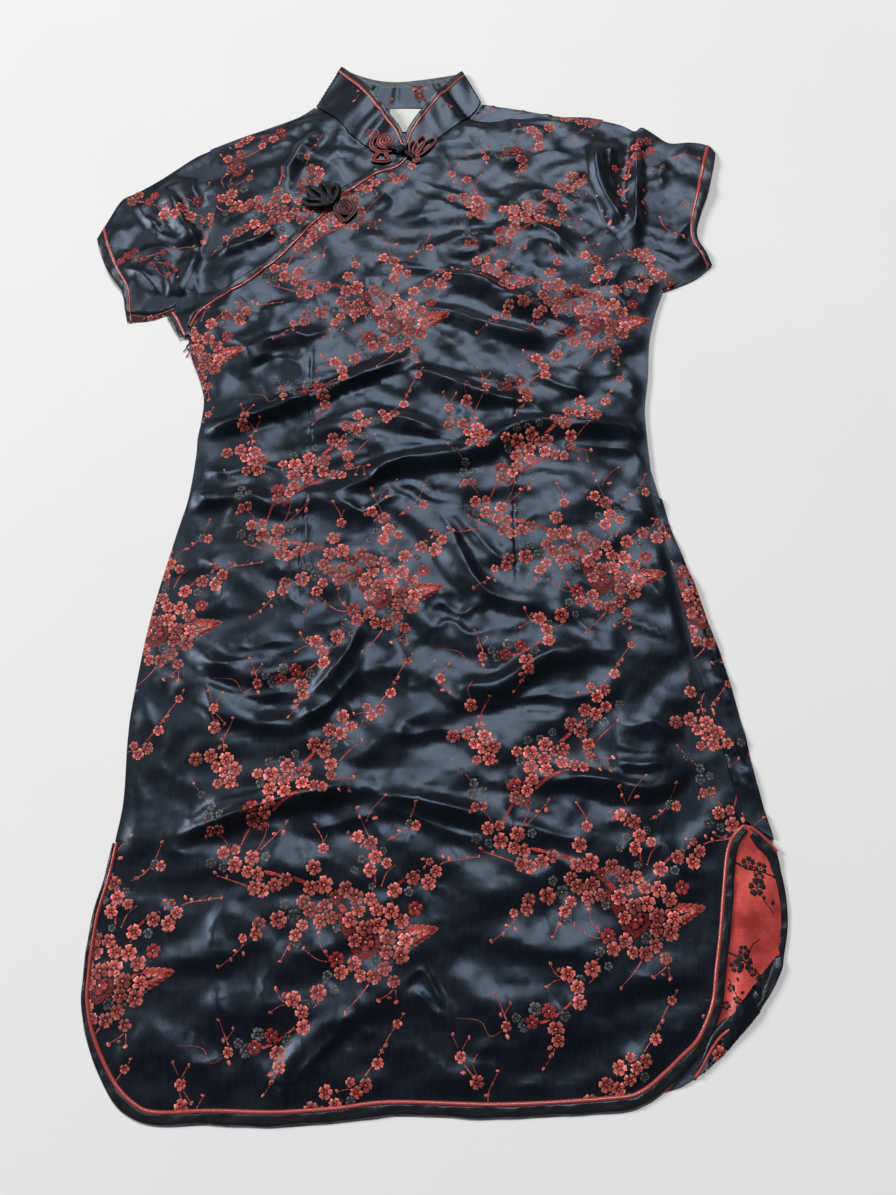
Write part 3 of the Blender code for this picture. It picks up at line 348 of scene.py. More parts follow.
# ---- the cloth's slight unevenness: wave length across and along, turn in degrees, phase, height ----
RIPPLES = (
    (150, 82, 14, 0.4, 2.20),
    (96, 54, -16, 1.9, 1.30),
    (60, 36, 27, 3.1, 0.50),
    (36, 23, -8, 4.4, 0.17),
    (20, 13, 35, 5.2, 0.04),
)

# ---- crinkles, which have narrow ridges: spacing across and along, turn, phase, height ----
CRINKLES = (
    (66, 160, 22, 0.7, 1.80),
    (50, 130, -34, 2.2, 1.10),
    (32, 84, 8, 3.6, 0.55),
    (22, 58, 61, 5.0, 0.22),
)

# ---- darts: from the top of each to its foot ----
DARTS = (
    ((-106, 155), (-105, 100), (-103, 30), (-105, -30), (-107, -108)),
    ((84, 112), (81, 70), (79, 10), (78, -88)),
)
DART_WIDTH = 3.2
DART_DEPTH = 0.8
DART_PUCKER = 0.22     # height of the small puckers beside a dart
DART_PUCKERS = 110     # radians of their wave along the whole dart

# ---- the brocade: one spray of plum blossom, in mm from its leaf's tip; its layout was read
# off a flattened view of the reference photo ----
CORAL_BLOSSOMS = (
    # round the leaf, columns x, y, radius
    (-28, 5, 5.4), (-25, -9, 5.2), (-28, -19, 5.5), (-38, -7, 5.3), (-39, -17, 4.9), (-46, 2, 5.6),
    (-47, 13, 5.2), (-36, 12, 5.4), (-56, 0, 5.5), (-63, -9, 5.1), (-67, 6, 5.4), (-61, 13, 4.9),
    (-63, 22, 5.4), (-52, 21, 4.7), (-71, 28, 5.5), (-34, 27, 5.2),
    # the stalk above
    (-53, 42, 4.7), (-49, 52, 5.2), (-53, 62, 5.5), (-63, 67, 4.9), (-40, 47, 3.7), (-18, 75, 3.7),
    # below the leaf
    (-63, -25, 5.2), (-73, -31, 5.3), (-58, -33, 4.7), (-48, -34, 5.4), (-40, -28, 5.0),
    (-33, -37, 4.2),
    # the branch to the left
    (-88, 31, 5.6), (-98, 29, 5.2), (-96, 44, 5.5), (-90, 58, 3.8), (-103, 19, 5.3), (-87, 15, 5.5),
    (-98, 13, 5.0), (-90, 5, 5.0), (-81, 7, 4.7), (-103, 2, 4.7), (-108, -5, 4.2), (-117, 35, 5.2),
    (-125, 31, 4.8), (-134, 27, 5.2), (-141, 29, 5.0), (-139, 39, 5.2), (-147, 41, 4.3),
    (-144, 51, 5.4), (-157, 46, 5.2), (-158, 57, 3.7), (-167, 55, 5.1), (-171, 72, 3.3),
    (-177, 71, 3.1), (-121, 6, 5.2), (-135, 3, 4.6), (-137, -4, 4.2), (-147, -7, 3.2),
    # the branch to the upper right
    (-20, 36, 5.5), (-8, 33, 5.5), (-2, 41, 4.5), (-7, 48, 2.7),
    # the small branch at the lower left
    (-89, -45, 5.5), (-107, -49, 5.3), (-100, -58, 4.5), (-99, -68, 5.2), (-117, -86, 5.2),
    (-115, -94, 4.7), (-153, -85, 3.8), (-186, -106, 4.1), (-52, -106, 4.7), (-59, -111, 4.1),
    (-44, -92, 3.8), (-30, -66, 3.1), (-63, -104, 3.2),
    # the long branch above
    (-78, 161, 5.2), (-88, 150, 5.3), (-79, 147, 5.1), (-71, 153, 4.3), (-100, 138, 5.5),
    (-92, 133, 5.1), (-121, 121, 5.3), (-114, 116, 4.5), (-107, 118, 4.7), (-133, 114, 5.5),
    (-122, 110, 5.5), (-133, 103, 5.5), (-121, 101, 4.7), (-144, 115, 4.3), (-98, 105, 4.7),
    (-91, 104, 4.1), (-86, 122, 5.2), (-85, 113, 4.1), (-132, 93, 4.9), (-136, 85, 4.9),
    (-145, 79, 4.5), (-108, 108, 5.2),
    # the small upright branch at the far left
    (-181, 152, 4.5), (-195, 127, 5.1), (-183, 129, 4.9), (-178, 121, 4.3), (-170, 127, 5.3),
    (-171, 117, 5.5), (-163, 119, 5.1), (-166, 109, 4.7), (-176, 108, 3.3),
)
DEEP_BLOSSOMS = (
    (-55, -10, 5.8), (-79, 22, 5.4), (-106, -48, 3.4), (-122, -74, 5.3), (-134, -82, 4.6),
    (-146, 88, 5.3), (-139, 77, 5.0), (-76, -22, 5.2), (-18, 14, 5.0),
)
GREY_BLOSSOMS = (
    (-77, 0, 3.3), (-41, -18, 4.0), (-47, -23, 3.6), (-35, -21, 3.2), (-59, 50, 3.2), (-65, 42, 2.8),
    (-43, 56, 3.0), (-51, 30, 2.8), (-23, 26, 3.6), (-110, 9, 4.6), (-117, 17, 3.4),
    (-106, -11, 3.0), (-83, -33, 3.6), (-77, -43, 2.8), (-176, 47, 3.6), (-166, 44, 3.6),
    (-133, 52, 3.3), (-135, 124, 3.2), (-125, 126, 3.0), (-141, 108, 3.2), (-85, 140, 4.4),
    (-73, 141, 3.6), (-60, 155, 3.2), (-115, 131, 3.0), (-178, 90, 3.2), (-179, 81, 3.6),
    (-171, 84, 3.0), (-188, 99, 2.8), (-132, -73, 4.4), (-140, -84, 3.8), (-146, -79, 3.0),
    (-110, -77, 3.2), (-23, 77, 2.8), (-98, -52, 2.6),
)
# widths at both ends, then points; the trunk and the branches lie under the blossoms
TRUNKS = (
    (2.4, 7.0, (-135, 41), (-112, 36), (-90, 28), (-72, 13), (-60, -5), (-46, -16)),
    (1.6, 4.4, (-66, 156), (-88, 143), (-106, 126), (-120, 112), (-134, 96), (-142, 78)),
    (1.4, 4.0, (-100, 102), (-114, 98), (-130, 87)),
    (1.0, 3.0, (-155, 58), (-150, 70), (-143, 78)),
    (1.4, 2.6, (-95, -60), (-110, -72), (-122, -80), (-137, -84)),
    (1.0, 2.4, (-36, 20), (-31, 31), (-22, 39)),
    (1.2, 3.0, (-48, 28), (-50, 44), (-52, 60)),
)
TWIGS = (
    (1.6, 0.9, (-158, 50), (-164, 60), (-171, 68), (-180, 67)),
    (2.2, 0.9, (-146, 30), (-158, 34), (-171, 38)),
    (1.3, 0.7, (-135, 6), (-143, -7), (-152, -18), (-163, -27)),
    (1.3, 0.8, (-89, 60), (-92, 68), (-97, 75)),
    (1.2, 0.7, (-90, 62), (-87, 69)),
    (1.4, 0.7, (-54, 66), (-59, 76), (-64, 88)),
    (1.0, 0.5, (-57, 78), (-52, 88), (-42, 98)),
    (1.4, 0.8, (-40, 64), (-30, 70), (-23, 80), (-18, 92)),
    (1.8, 0.7, (-6, 42), (5, 48), (18, 50), (31, 52)),
    (1.0, 0.6, (14, 50), (20, 54)),
    (1.5, 1.0, (-44, 30), (-40, 40), (-33, 46)),
    (1.8, 1.0, (-51, -38), (-58, -47), (-68, -57)),
    (1.3, 0.7, (-31, -40), (-36, -45), (-43, -49)),
    (1.3, 0.7, (-32, -40), (-31, -50)),
    (1.5, 0.8, (-79, -24), (-90, -22), (-100, -15)),
    (1.5, 0.8, (-82, -20), (-88, -13), (-90, -4)),
    (2.0, 0.8, (-106, -5), (-112, -12), (-117, -22)),
    (1.5, 0.9, (-108, -52), (-115, -50), (-120, -43)),
    (1.5, 0.8, (-107, -54), (-115, -53), (-122, -57)),
    (1.7, 0.8, (-116, -95), (-119, -103), (-125, -112)),
    (1.6, 0.8, (-152, -82), (-156, -74), (-160, -64)),
    (1.2, 0.7, (-155, -77), (-150, -70)),
    (1.0, 0.5, (-156, -88), (-165, -92), (-172, -82), (-190, -80)),
    (1.7, 0.8, (-83, 120), (-74, 131), (-62, 141)),
    (1.0, 0.7, (-178, 88), (-186, 98), (-195, 107)),
    (2.0, 0.9, (-172, 132), (-173, 144), (-166, 158)),
    (1.2, 0.7, (-181, 156), (-184, 164), (-180, 171)),
    (1.7, 0.8, (-138, 57), (-128, 67), (-119, 77)),
    (1.5, 0.8, (-141, 56), (-136, 66), (-134, 74)),
    (1.2, 0.6, (-55, -103), (-44, -88), (-36, -74), (-26, -60)),
    (1.0, 0.6, (-62, -108), (-72, -110)),
    (1.2, 0.7, (-185, -101), (-181, -94)),
    (1.2, 0.7, (-188, -100), (-192, -92)),
    (1.2, 0.7, (-184, -110), (-178, -117)),
    (1.5, 0.8, (-13, 30), (-18, 42)),
    (1.2, 0.7, (-168, 118), (-160, 108)),
    (1.2, 0.7, (-88, -40), (-82, -36)),
    (1.2, 0.6, (-86, -50), (-92, -55)),
    (1.0, 0.6, (-76, 112), (-78, 103)),
    (1.0, 0.6, (-72, 111), (-70, 102)),
    (1.2, 0.8, (-85, 108), (-76, 112), (-68, 111)),
)
# small buds, columns x, y, radius
BUDS = (
    (-181, 67, 1.9), (-172, 40, 1.8), (-163, 37, 1.7), (-164, -27, 1.8), (-155, -22, 1.7),
    (-152, -16, 1.8), (-146, -18, 1.8), (-97, 76, 1.5), (-64, 89, 1.8), (-62, 82, 1.6),
    (-50, 81, 2.2), (-42, 98, 1.4), (-18, 93, 1.7), (-25, 74, 1.6), (-36, 66, 2.2), (-31, 71, 1.7),
    (8, 50, 1.9), (3, 52, 1.8), (22, 51, 1.6), (31, 52, 1.3), (-12, 50, 1.8), (-68, -58, 1.6),
    (-44, -50, 1.9), (-31, -51, 1.9), (-36, -48, 1.7), (-101, -14, 1.6), (-90, -3, 1.6),
    (-84, -16, 1.7), (-118, -23, 1.5), (-112, -14, 2.0), (-120, -42, 1.9), (-114, -46, 2.0),
    (-123, -58, 1.7), (-120, -104, 2.3), (-121, -99, 2.2), (-126, -113, 1.4), (-161, -63, 1.5),
    (-150, -69, 1.5), (-157, -77, 1.9), (-62, 142, 1.4), (-195, 108, 1.3), (-166, 159, 1.5),
    (-174, 143, 2.0), (-171, 137, 2.1), (-176, 136, 2.0), (-119, 78, 1.9), (-121, 70, 2.4),
    (-128, 69, 1.9), (-134, 75, 1.6), (-26, -59, 1.3), (-38, -80, 1.8), (-41, -84, 1.8),
    (-73, -110, 1.6), (-180, -93, 1.5), (-192, -91, 1.5), (-177, -118, 1.6), (-184, -116, 1.8),
    (-160, 107, 1.7), (-78, 102, 1.6), (-70, 101, 1.6), (-67, 112, 1.9), (-152, -92, 2.0),
    (-148, -78, 1.8), (-11, 44, 1.7), (-16, 41, 1.8), (-69, 64, 1.9), (-71, 70, 1.7), (-60, 60, 1.7),
)
LEAF_LONG = 34.0
LEAF_HALF = 12.0
LEAF_BARBS = 6
LEAF_BARB = 2.0        # half the width of a barb
LEAF_SLOT = 3.0        # half the gap between the leaf's wings at its foot
LEAF_ARCH = -0.30      # slope of the rib, down towards the base
BOLE = (
    (-79, 12), (-73, 10), (-67, 2), (-60, 4), (-53, 7), (-47, 10.5), (-43, 4), (-38, -3), (-33, -6),
    (-34, -13), (-40, -17), (-47, -19), (-53, -22), (-59, -23), (-65, -17), (-68, -10), (-72, -3),
    (-78, 4),
)
STROKE = 3             # points in one stroke of a twig
TWIG_THIN = 0.56
TRUNK_THIN = 0.8

# ---- thread colours, linear red, green, blue, at a motif's middle and at its rim; the coral ones' paler rims are partly woven tone, partly painted highlight ----
CORAL_INNER = (0.340, 0.018, 0.020)
CORAL_RIM = (0.840, 0.270, 0.220)
DEEP_INNER = (0.170, 0.011, 0.014)
DEEP_RIM = (0.460, 0.048, 0.045)
STAMEN = (0.660, 0.170, 0.135)
STEM = (0.260, 0.030, 0.032)
STEM_RIM = (0.420, 0.080, 0.070)
GREY_INNER = (0.020, 0.021, 0.024)
GREY_RIM = (0.170, 0.176, 0.184)
GROUND = (0.0, 0.0, 0.0)

# ---- where the sprays' leaf tips lie: x, y, turn in degrees ----
FRONT_SPRAYS = (
    (22, 182, 1), (17, -87, 0), (13, -360, 0), (10, -632, 0), (212, 180, -3), (207, -75, -4),
    (217, -345, -1), (222, -616, 0), (-168, 145, 0), (-170, -118, 0), (-184, -390, 0), (-188, -660, 0),
    (28, 447, 0), (214, 448, -2), (400, -330, 0), (402, 186, 0),
)
WRAP_SPRAYS = ((290, -110, -8), (300, -380, -6), (400, -20, -8))
CORNER_SPRAYS = ((300, -390, 8), (262, -330, 0))
BACK_SPRAYS = tuple((x, y, 0) for x in (-220, -20, 180, 380) for y in (-640, -369, -98, 173, 444))

# ---- sprigs placed one by one: twigs as widths, then points; blossoms and buds as x, y, radius;
# their places were read off the reference photo in pixels and turned into mm by a program ----
COLLAR_OUTER = {
    "twigs": (
        (0.9, 0.5, (86, 44), (80, 36), (78, 28)), (0.9, 0.5, (330, 33), (322, 28), (316, 20)),
    ),
    "deep": (
        (88, 44, 3.4),
    ),
    "coral": (
        (331, 34, 3.2), (40, 14, 3.0),
    ),
    "grey": (
        (323, 24, 2.6),
    ),
    "buds": (
        (79, 27, 1.8), (84, 38, 1.6), (317, 19, 1.6), (34, 20, 1.6),
    ),
}
COLLAR_INNER = {
    "twigs": (
        (1.0, 0.6, (225, 30), (222, 21), (220, 14)), (0.8, 0.5, (188, 12), (186, 5), (184, 1)),
    ),
    "deep": (
        (219, 16, 5.2),
    ),
    "coral": (
        (212, 29, 4.2), (220, 27, 4.8), (228, 30, 3.8),
    ),
    "grey": (),
    "buds": (
        (188, 13, 2.6), (183, 3, 2.0), (207, 2, 2.4), (213, 20, 1.6),
    ),
}
YOKE_SPRIG = {
    "full": 1.16,
    "twigs": (
        (1.0, 0.8, (-192, 351), (-197, 343), (-197, 333)),
        (1.0, 0.6, (-197, 333), (-189, 336), (-181, 342), (-176, 351)),
        (0.9, 0.6, (-203, 351), (-207, 344), (-203, 333)),
        (1.2, 0.8, (-168, 382), (-176, 375), (-187, 369)),
        (0.8, 0.5, (-206, 370), (-209, 373), (-211, 377)),
        (1.4, 0.8, (-193, 303), (-199, 304), (-207, 309), (-210, 314)),
        (2.4, 1.6, (-143, 304), (-161, 304), (-182, 306)),
        (1.2, 0.6, (-148, 333), (-145, 346), (-146, 356)),
        (1.0, 0.5, (-120, 372), (-113, 384), (-107, 397)),
        (1.4, 0.9, (-124, 339), (-122, 354), (-121, 365)),
        (1.2, 0.8, (-131, 325), (-126, 326), (-123, 320)),
        (1.3, 0.5, (-172, 287), (-185, 281), (-197, 274), (-208, 256), (-210, 252)),
        (1.4, 0.8, (-147, 293), (-159, 281), (-168, 272)),
        (0.9, 0.6, (-138, 270), (-146, 272), (-151, 276)),
        (0.7, 0.4, (-195, 273), (-195, 267), (-193, 261)),
        (1.8, 0.8, (-135, 301), (-124, 293), (-112, 308), (-102, 307)),
        (1.4, 0.7, (-168, 384), (-151, 404), (-141, 398)),
    ),
    "deep": (
        (-194, 364, 5.0), (-189, 359, 5.0), (-198, 359, 4.4), (-191, 352, 4.0), (-164, 393, 5.0),
        (-158, 393, 4.5), (-210, 322, 4.0), (-151, 405, 4.0), (-147, 398, 3.0), (-125, 338, 4.5),
        (-118, 341, 4.5), (-123, 330, 4.0),
    ),
    "coral": (
        (-168, 384, 3.6), (-189, 374, 3.6), (-202, 369, 4.0), (-192, 387, 4.2), (-186, 393, 4.0),
        (-182, 396, 3.5), (-205, 322, 4.2), (-195, 326, 4.6), (-197, 316, 3.8), (-188, 312, 4.4),
        (-182, 306, 4.6), (-192, 306, 3.8), (-175, 311, 4.2), (-167, 316, 4.0), (-166, 308, 3.6),
        (-150, 316, 4.6), (-140, 318, 5.0), (-149, 327, 4.0), (-158, 307, 4.4), (-153, 301, 4.4),
        (-143, 304, 4.6), (-146, 293, 4.4), (-136, 295, 4.4), (-130, 301, 4.2), (-123, 292, 4.6),
        (-118, 306, 4.6), (-114, 298, 4.0), (-110, 311, 3.8), (-153, 290, 4.2), (-159, 281, 4.6),
        (-165, 276, 3.4), (-170, 289, 4.4), (-179, 285, 3.6), (-186, 281, 4.8), (-197, 274, 2.8),
        (-139, 270, 4.0), (-178, 343, 3.0), (-121, 366, 2.6), (-117, 354, 4.6), (-109, 351, 4.6),
        (-110, 343, 4.0), (-127, 314, 3.6), (-157, 392, 4.0),
    ),
    "grey": (
        (-196, 334, 3.0), (-199, 303, 3.0), (-169, 301, 3.4), (-183, 330, 3.0), (-127, 365, 3.0),
        (-161, 292, 3.0), (-202, 262, 2.5), (-142, 281, 3.0),
    ),
    "buds": (
        (-143, 343, 2.0), (-202, 352, 1.8), (-176, 352, 1.8), (-151, 275, 1.8), (-194, 262, 1.6),
        (-206, 259, 1.6), (-111, 390, 1.8), (-114, 382, 1.8), (-201, 384, 2.0), (-210, 375, 1.6),
    ),
}
LEFT_SLEEVE = {
    "twigs": (
        (1.0, 0.6, (-247, 321), (-238, 319), (-230, 316)),
        (1.8, 1.2, (-296, 320), (-270, 312), (-254, 302)),
        (1.2, 0.8, (-248, 301), (-228, 302), (-212, 294)),
        (1.4, 0.8, (-299, 246), (-272, 252), (-246, 260)),
        (1.0, 0.6, (-246, 260), (-236, 262), (-227, 262)),
        (1.2, 0.7, (-268, 246), (-252, 242), (-240, 234)),
        (0.9, 0.5, (-228, 316), (-222, 330), (-218, 340)),
        (0.9, 0.5, (-262, 238), (-254, 228), (-244, 224)),
    ),
    "deep": (
        (-290, 252, 4.6), (-284, 258, 3.8), (-277, 249, 3.9), (-266, 243, 3.6), (-256, 256, 3.2),
        (-250, 242, 3.4), (-243, 236, 3.2), (-276, 316, 4.4), (-271, 323, 3.8), (-257, 308, 4.2),
        (-228, 316, 4.6), (-296, 246, 4.0), (-248, 228, 2.8),
    ),
    "coral": (
        (-294, 318, 4.4), (-287, 325, 4.2), (-259, 300, 5.2), (-248, 299, 4.8), (-234, 300, 5.2),
        (-242, 308, 4.6), (-213, 300, 4.6), (-211, 291, 4.4), (-221, 295, 3.0),
    ),
    "grey": (
        (-264, 309, 2.8), (-280, 310, 2.6), (-224, 286, 3.4), (-262, 250, 2.6),
    ),
    "buds": (
        (-300, 322, 1.8), (-246, 262, 1.6), (-227, 263, 1.5), (-239, 226, 1.5), (-219, 341, 1.5),
    ),
}
RIGHT_SLEEVE = {
    "twigs": (
        (1.2, 0.7, (217, 391), (213, 374), (206, 362)), (1.1, 0.6, (204, 362), (195, 358), (188, 357)),
        (1.1, 0.6, (203, 358), (198, 344), (192, 330)), (0.8, 0.4, (220, 353), (232, 354), (240, 358)),
        (1.0, 0.6, (250, 372), (262, 374), (274, 369)), (0.9, 0.5, (258, 374), (262, 381)),
        (1.0, 0.5, (251, 317), (255, 313), (258, 308)),
        (1.2, 0.6, (229, 298), (232, 286), (240, 278), (249, 275)), (0.8, 0.4, (231, 287), (236, 290)),
        (1.6, 1.0, (196, 256), (210, 252), (222, 236), (234, 222)),
        (1.0, 0.5, (206, 246), (211, 238), (216, 228)), (0.9, 0.5, (168, 252), (182, 250), (194, 255)),
    ),
    "deep": (
        (216, 390, 4.8), (223, 392, 4.6), (226, 382, 4.4), (218, 375, 3.8), (204, 361, 3.6),
        (188, 357, 3.8), (203, 366, 3.2), (233, 222, 4.0),
    ),
    "coral": (
        (210, 382, 4.8), (209, 369, 4.4), (199, 347, 3.4), (192, 328, 3.4), (197, 254, 4.6),
        (205, 257, 4.0), (213, 258, 4.4), (217, 250, 4.6), (208, 250, 4.0), (215, 241, 3.8),
        (219, 234, 4.6), (226, 231, 4.8), (221, 226, 3.4), (232, 213, 3.6),
    ),
    "grey": (
        (236, 360, 2.6), (228, 354, 2.4), (206, 244, 3.0), (227, 242, 2.8),
    ),
    "buds": (
        (274, 369, 2.4), (248, 371, 1.8), (190, 335, 1.6), (258, 312, 1.8), (229, 299, 1.5),
        (250, 274, 2.2), (242, 277, 1.8),
    ),
}
SLIT_SPRIG = {
    "twigs": (
        (1.8, 1.0, (243, -312), (252, -317), (262, -319), (276, -325)),
        (1.4, 0.8, (257, -318), (258, -330), (256, -336)),
        (1.6, 0.9, (231, -377), (242, -383), (252, -392), (262, -399)),
        (1.0, 0.6, (258, -334), (264, -344), (268, -350)),
        (1.0, 0.6, (246, -380), (250, -372), (256, -368)),
        (1.0, 0.6, (230, -396), (234, -408), (232, -418)),
    ),
    "coral": (
        (253, -313, 5.2), (262, -317, 4.6), (257, -331, 5.8), (260, -323, 3.6), (243, -384, 5.6),
        (236, -387, 4.6), (243, -376, 3.8), (255, -398, 5.0), (248, -391, 3.4), (231, -402, 2.8),
        (226, -414, 3.2), (234, -410, 2.6),
    ),
    "deep": (),
    "grey": (),
    "buds": (
        (268, -342, 2.2), (262, -338, 1.8), (272, -323, 2.0), (230, -376, 1.8), (238, -405, 1.8),
        (240, -412, 1.6), (228, -422, 1.6), (236, -396, 1.6),
    ),
}


# ---- curves in plan ----
def curve(points, step):
    """A smooth curve through the points, as evenly spaced rows, ends included."""
    knots = np.array(points, float)
    if len(knots) == 2:
        dense = np.linspace(knots[0], knots[1], 40)
    else:
        padded = np.vstack([2 * knots[0] - knots[1], knots, 2 * knots[-1] - knots[-2]])
        t = np.linspace(0, 1, 24, endpoint=False)[:, None]
        spans = []
        for a, b, c, d in zip(padded, padded[1:], padded[2:], padded[3:]):
            cubic = (3 * b - a - 3 * c + d) * t + (2 * a - 5 * b + 4 * c - d)
            spans.append(0.5 * ((cubic * t + (c - a)) * t + 2 * b))
        dense = np.vstack(spans + [knots[-1:]])
    run = np.concatenate([[0], np.cumsum(np.linalg.norm(np.diff(dense[:, :2], axis=0), axis=1))])
    count = max(2, int(round(run[-1] / step)) + 1)
    at = np.linspace(0, run[-1], count)
    return np.column_stack([np.interp(at, run, dense[:, k]) for k in range(dense.shape[1])])


def normals(path):
    """The plan normal at each point of an open path, to the left of its direction."""
    along = np.gradient(path[:, :2], axis=0)
    along /= np.linalg.norm(along, axis=1)[:, None]
    return np.column_stack([-along[:, 1], along[:, 0]])


def shifted(path, distance):
    """The path moved to its left by distance, one value or one for each point."""
    moved = path.copy()
    moved[:, :2] += normals(path) * np.reshape(distance, (-1, 1))
    return moved


def run_along(path):
    """The length of a path up to each of its points."""
    return np.concatenate([[0], np.cumsum(np.linalg.norm(np.diff(path[:, :2], axis=0), axis=1))])


SPAN = 10              # how many segments of a path are tried at a time


def beside(path, x, y, reach):
    """Signed distance to a path, plus on its left, and the place along it from 0 to 1.

    Points further than reach from the path get an infinite distance.
    """
    gap = np.full(len(x), np.inf)
    where = np.zeros(len(x))
    run = run_along(path)
    for k in range(0, len(path) - 1, SPAN):
        piece = path[k:k + SPAN + 1, :2]
        low = piece.min(axis=0) - reach
        high = piece.max(axis=0) + reach
        idx = np.nonzero((x > low[0]) & (x < high[0]) & (y > low[1]) & (y < high[1]))[0]
        if not len(idx):
            continue
        point = np.column_stack([x[idx], y[idx]])[:, None, :]
        along = np.diff(piece, axis=0)
        length = np.linalg.norm(along, axis=1)
        rel = point - piece[None, :-1]
        t = np.clip((rel * along).sum(axis=2) / length ** 2, 0, 1)
        off = np.linalg.norm(rel - t[..., None] * along, axis=2)
        best = off.argmin(axis=1)
        rows = np.arange(len(idx))
        near = off[rows, best]
        closer = (near < np.abs(gap[idx])) & (near < reach)
        rows, best, idx, near = rows[closer], best[closer], idx[closer], near[closer]
        cross = along[best, 0] * rel[rows, best, 1] - along[best, 1] * rel[rows, best, 0]
        gap[idx] = np.where(cross < 0, -near, near)
        where[idx] = (run[k + best] + t[rows, best] * length[best]) / run[-1]
    return gap, where


def nearest(paths, x, y, reach):
    """The distance to the nearest of some paths, at most reach."""
    gap = np.full(len(x), float(reach))
    for path in paths:
        gap = np.minimum(gap, np.abs(beside(path, x, y, reach)[0]))
    return gap


def closed(outline):
    """An outline as a path that ends where it starts."""
    return np.vstack([outline, outline[:1]])


def smooth_step(t):
    t = np.clip(t, 0, 1)
    return t * t * (3 - 2 * t)


def rolled_off(gap, radius):
    """How far a quarter round has come down: 1 at a gap of 0, and 0 from the radius on."""
    return 1 - np.sqrt(1 - (1 - gap / radius) ** 2)


def ends_fade(where, share):
    """0 at both ends of a path and 1 in between, by the place along it from 0 to 1."""
    return smooth_step(np.minimum(where, 1 - where) / share)


# ---- motifs: closed outlines in plan, each with its thread colours ----
class Motif:
    """One woven patch: its outline, the colours at its hub and rim, and how it bulges."""

    def __init__(self, outline, inner, rim, hub, reach, middle, size, extra=()):
        self.outline = np.asarray(outline, float)
        self.inner = inner
        self.rim = rim
        self.hub = np.asarray(hub, float)
        self.reach = reach
        self.middle = np.asarray(middle, float)
        self.size = size
        self.extra = [np.asarray(point, float) for point in extra]

    def moved(self, place):
        """This motif with all its points taken through place, a function of plan points."""
        made = Motif.__new__(Motif)
        made.outline = place(self.outline)
        made.inner = self.inner
        made.rim = self.rim
        made.hub = place(self.hub[None])[0]
        made.reach = self.reach
        made.middle = place(self.middle[None])[0]
        made.size = self.size
        made.extra = [place(point[None])[0] for point in self.extra]
        area = made.outline[:, 0] @ np.roll(made.outline[:, 1], -1)
        area -= made.outline[:, 1] @ np.roll(made.outline[:, 0], -1)
        if area < 0:
            made.outline = made.outline[::-1]
        return made


def chance(x, y, salt=0.0):
    """A fixed number from 0 to 1 that looks random, for a place in the plan."""
    return math.modf(abs(math.sin(x * 12.9898 + y * 78.233 + salt * 37.719) * 43758.5453))[0]


def shade(colour, factor):
    """A colour made lighter or darker."""
    return tuple(channel * factor for channel in colour)


def polar(x, y, radius, degrees):
    """The plan point at a distance and direction from x, y."""
    return (x + radius * math.cos(math.radians(degrees)), y + radius * math.sin(math.radians(degrees)))


PETAL = ((0.18, 0), (0.66, -36), (1.0, -20), (1.0, 20), (0.66, 36))
FULL = 1.10            # what a blossom's radius is multiplied by
HALO = 0.75            # dark edge round a blossom that lies on another


def blossom(x, y, radius, inner, rim, heart):
    """A five-petalled flower: a dark edge, its petals and its stamens."""
    turn = 360 * chance(x, y)
    tone = 0.55 + 0.75 * chance(x, y, 1)
    wide = radius * FULL * (0.94 + 0.22 * chance(x, y, 5))
    edge = [polar(x, y, wide + HALO, 36 * k + turn) for k in range(10)]
    parts = [Motif(edge, GROUND, GROUND, (x, y), wide, (x, y), 0)]
    for k in range(5):
        middle = turn + 72 * k + 9 * (chance(x + k, y, 6) - 0.5)
        reach = wide * (0.90 + 0.16 * chance(x, y + k, 7))
        outline = [polar(x, y, reach * far, middle + off) for far, off in PETAL]
        centre = polar(x, y, reach * 0.60, middle)
        gleam = tone * (0.72 + 0.62 * chance(*centre, 2))
        parts.append(Motif(outline, shade(inner, gleam), shade(rim, gleam), (x, y), reach, centre,
                           reach * 0.60, [centre]))
    star = [polar(x, y, wide * 0.15, 72 * k + turn) for k in range(5)]
    parts.append(Motif(star, heart, heart, (x, y), wide, (x, y), wide * 0.2))
    return parts


def bud(x, y, radius):
    """A closed bud: a small drop that leans its own way."""
    tone = 0.60 + 0.7 * chance(x, y)
    lean = math.radians(180 * chance(x, y, 8))
    edge = []
    for k in range(6):
        a = math.radians(60 * k)
        far, off = radius * 1.05 * math.cos(a), radius * 0.66 * math.sin(a)
        edge.append((x + far * math.cos(lean) - off * math.sin(lean),
                     y + far * math.sin(lean) + off * math.cos(lean)))
    return [Motif(edge, shade(CORAL_INNER, tone), shade(CORAL_RIM, tone), (x, y), radius, (x, y), radius)]


def stem(first, last, points, inner, rim):
    """A twig: short tapering strokes end to end along a smooth curve, each with its own tone."""
    path = curve(points, 3.5)
    widths = np.linspace(first, last, len(path)) * [0.7 + 0.6 * chance(*point) for point in path]
    left = shifted(path, widths / 2)
    right = shifted(path, -widths / 2)
    parts = []
    for k in range(0, len(path) - 1, STROKE):
        tone = 0.55 + 0.9 * chance(*path[k], 3)
        middle = path[min(k + STROKE // 2, len(path) - 1)]
        edge = np.vstack([right[k:k + STROKE + 1], left[k:k + STROKE + 1][::-1]])
        parts.append(Motif(edge, shade(inner, tone), shade(rim, tone), middle, 1e-6, middle, 0))
    return parts


def bole():
    """The knotted foot of the trunk: a dark red body with a paler edge."""
    edge = curve((*BOLE, BOLE[0]), 3.0)[:-1]
    middle = edge.mean(axis=0)
    reach = np.linalg.norm(edge - middle, axis=1).max()
    return [Motif(edge, shade(DEEP_INNER, 0.8), shade(DEEP_RIM, 0.55), middle, reach, middle, 0)]


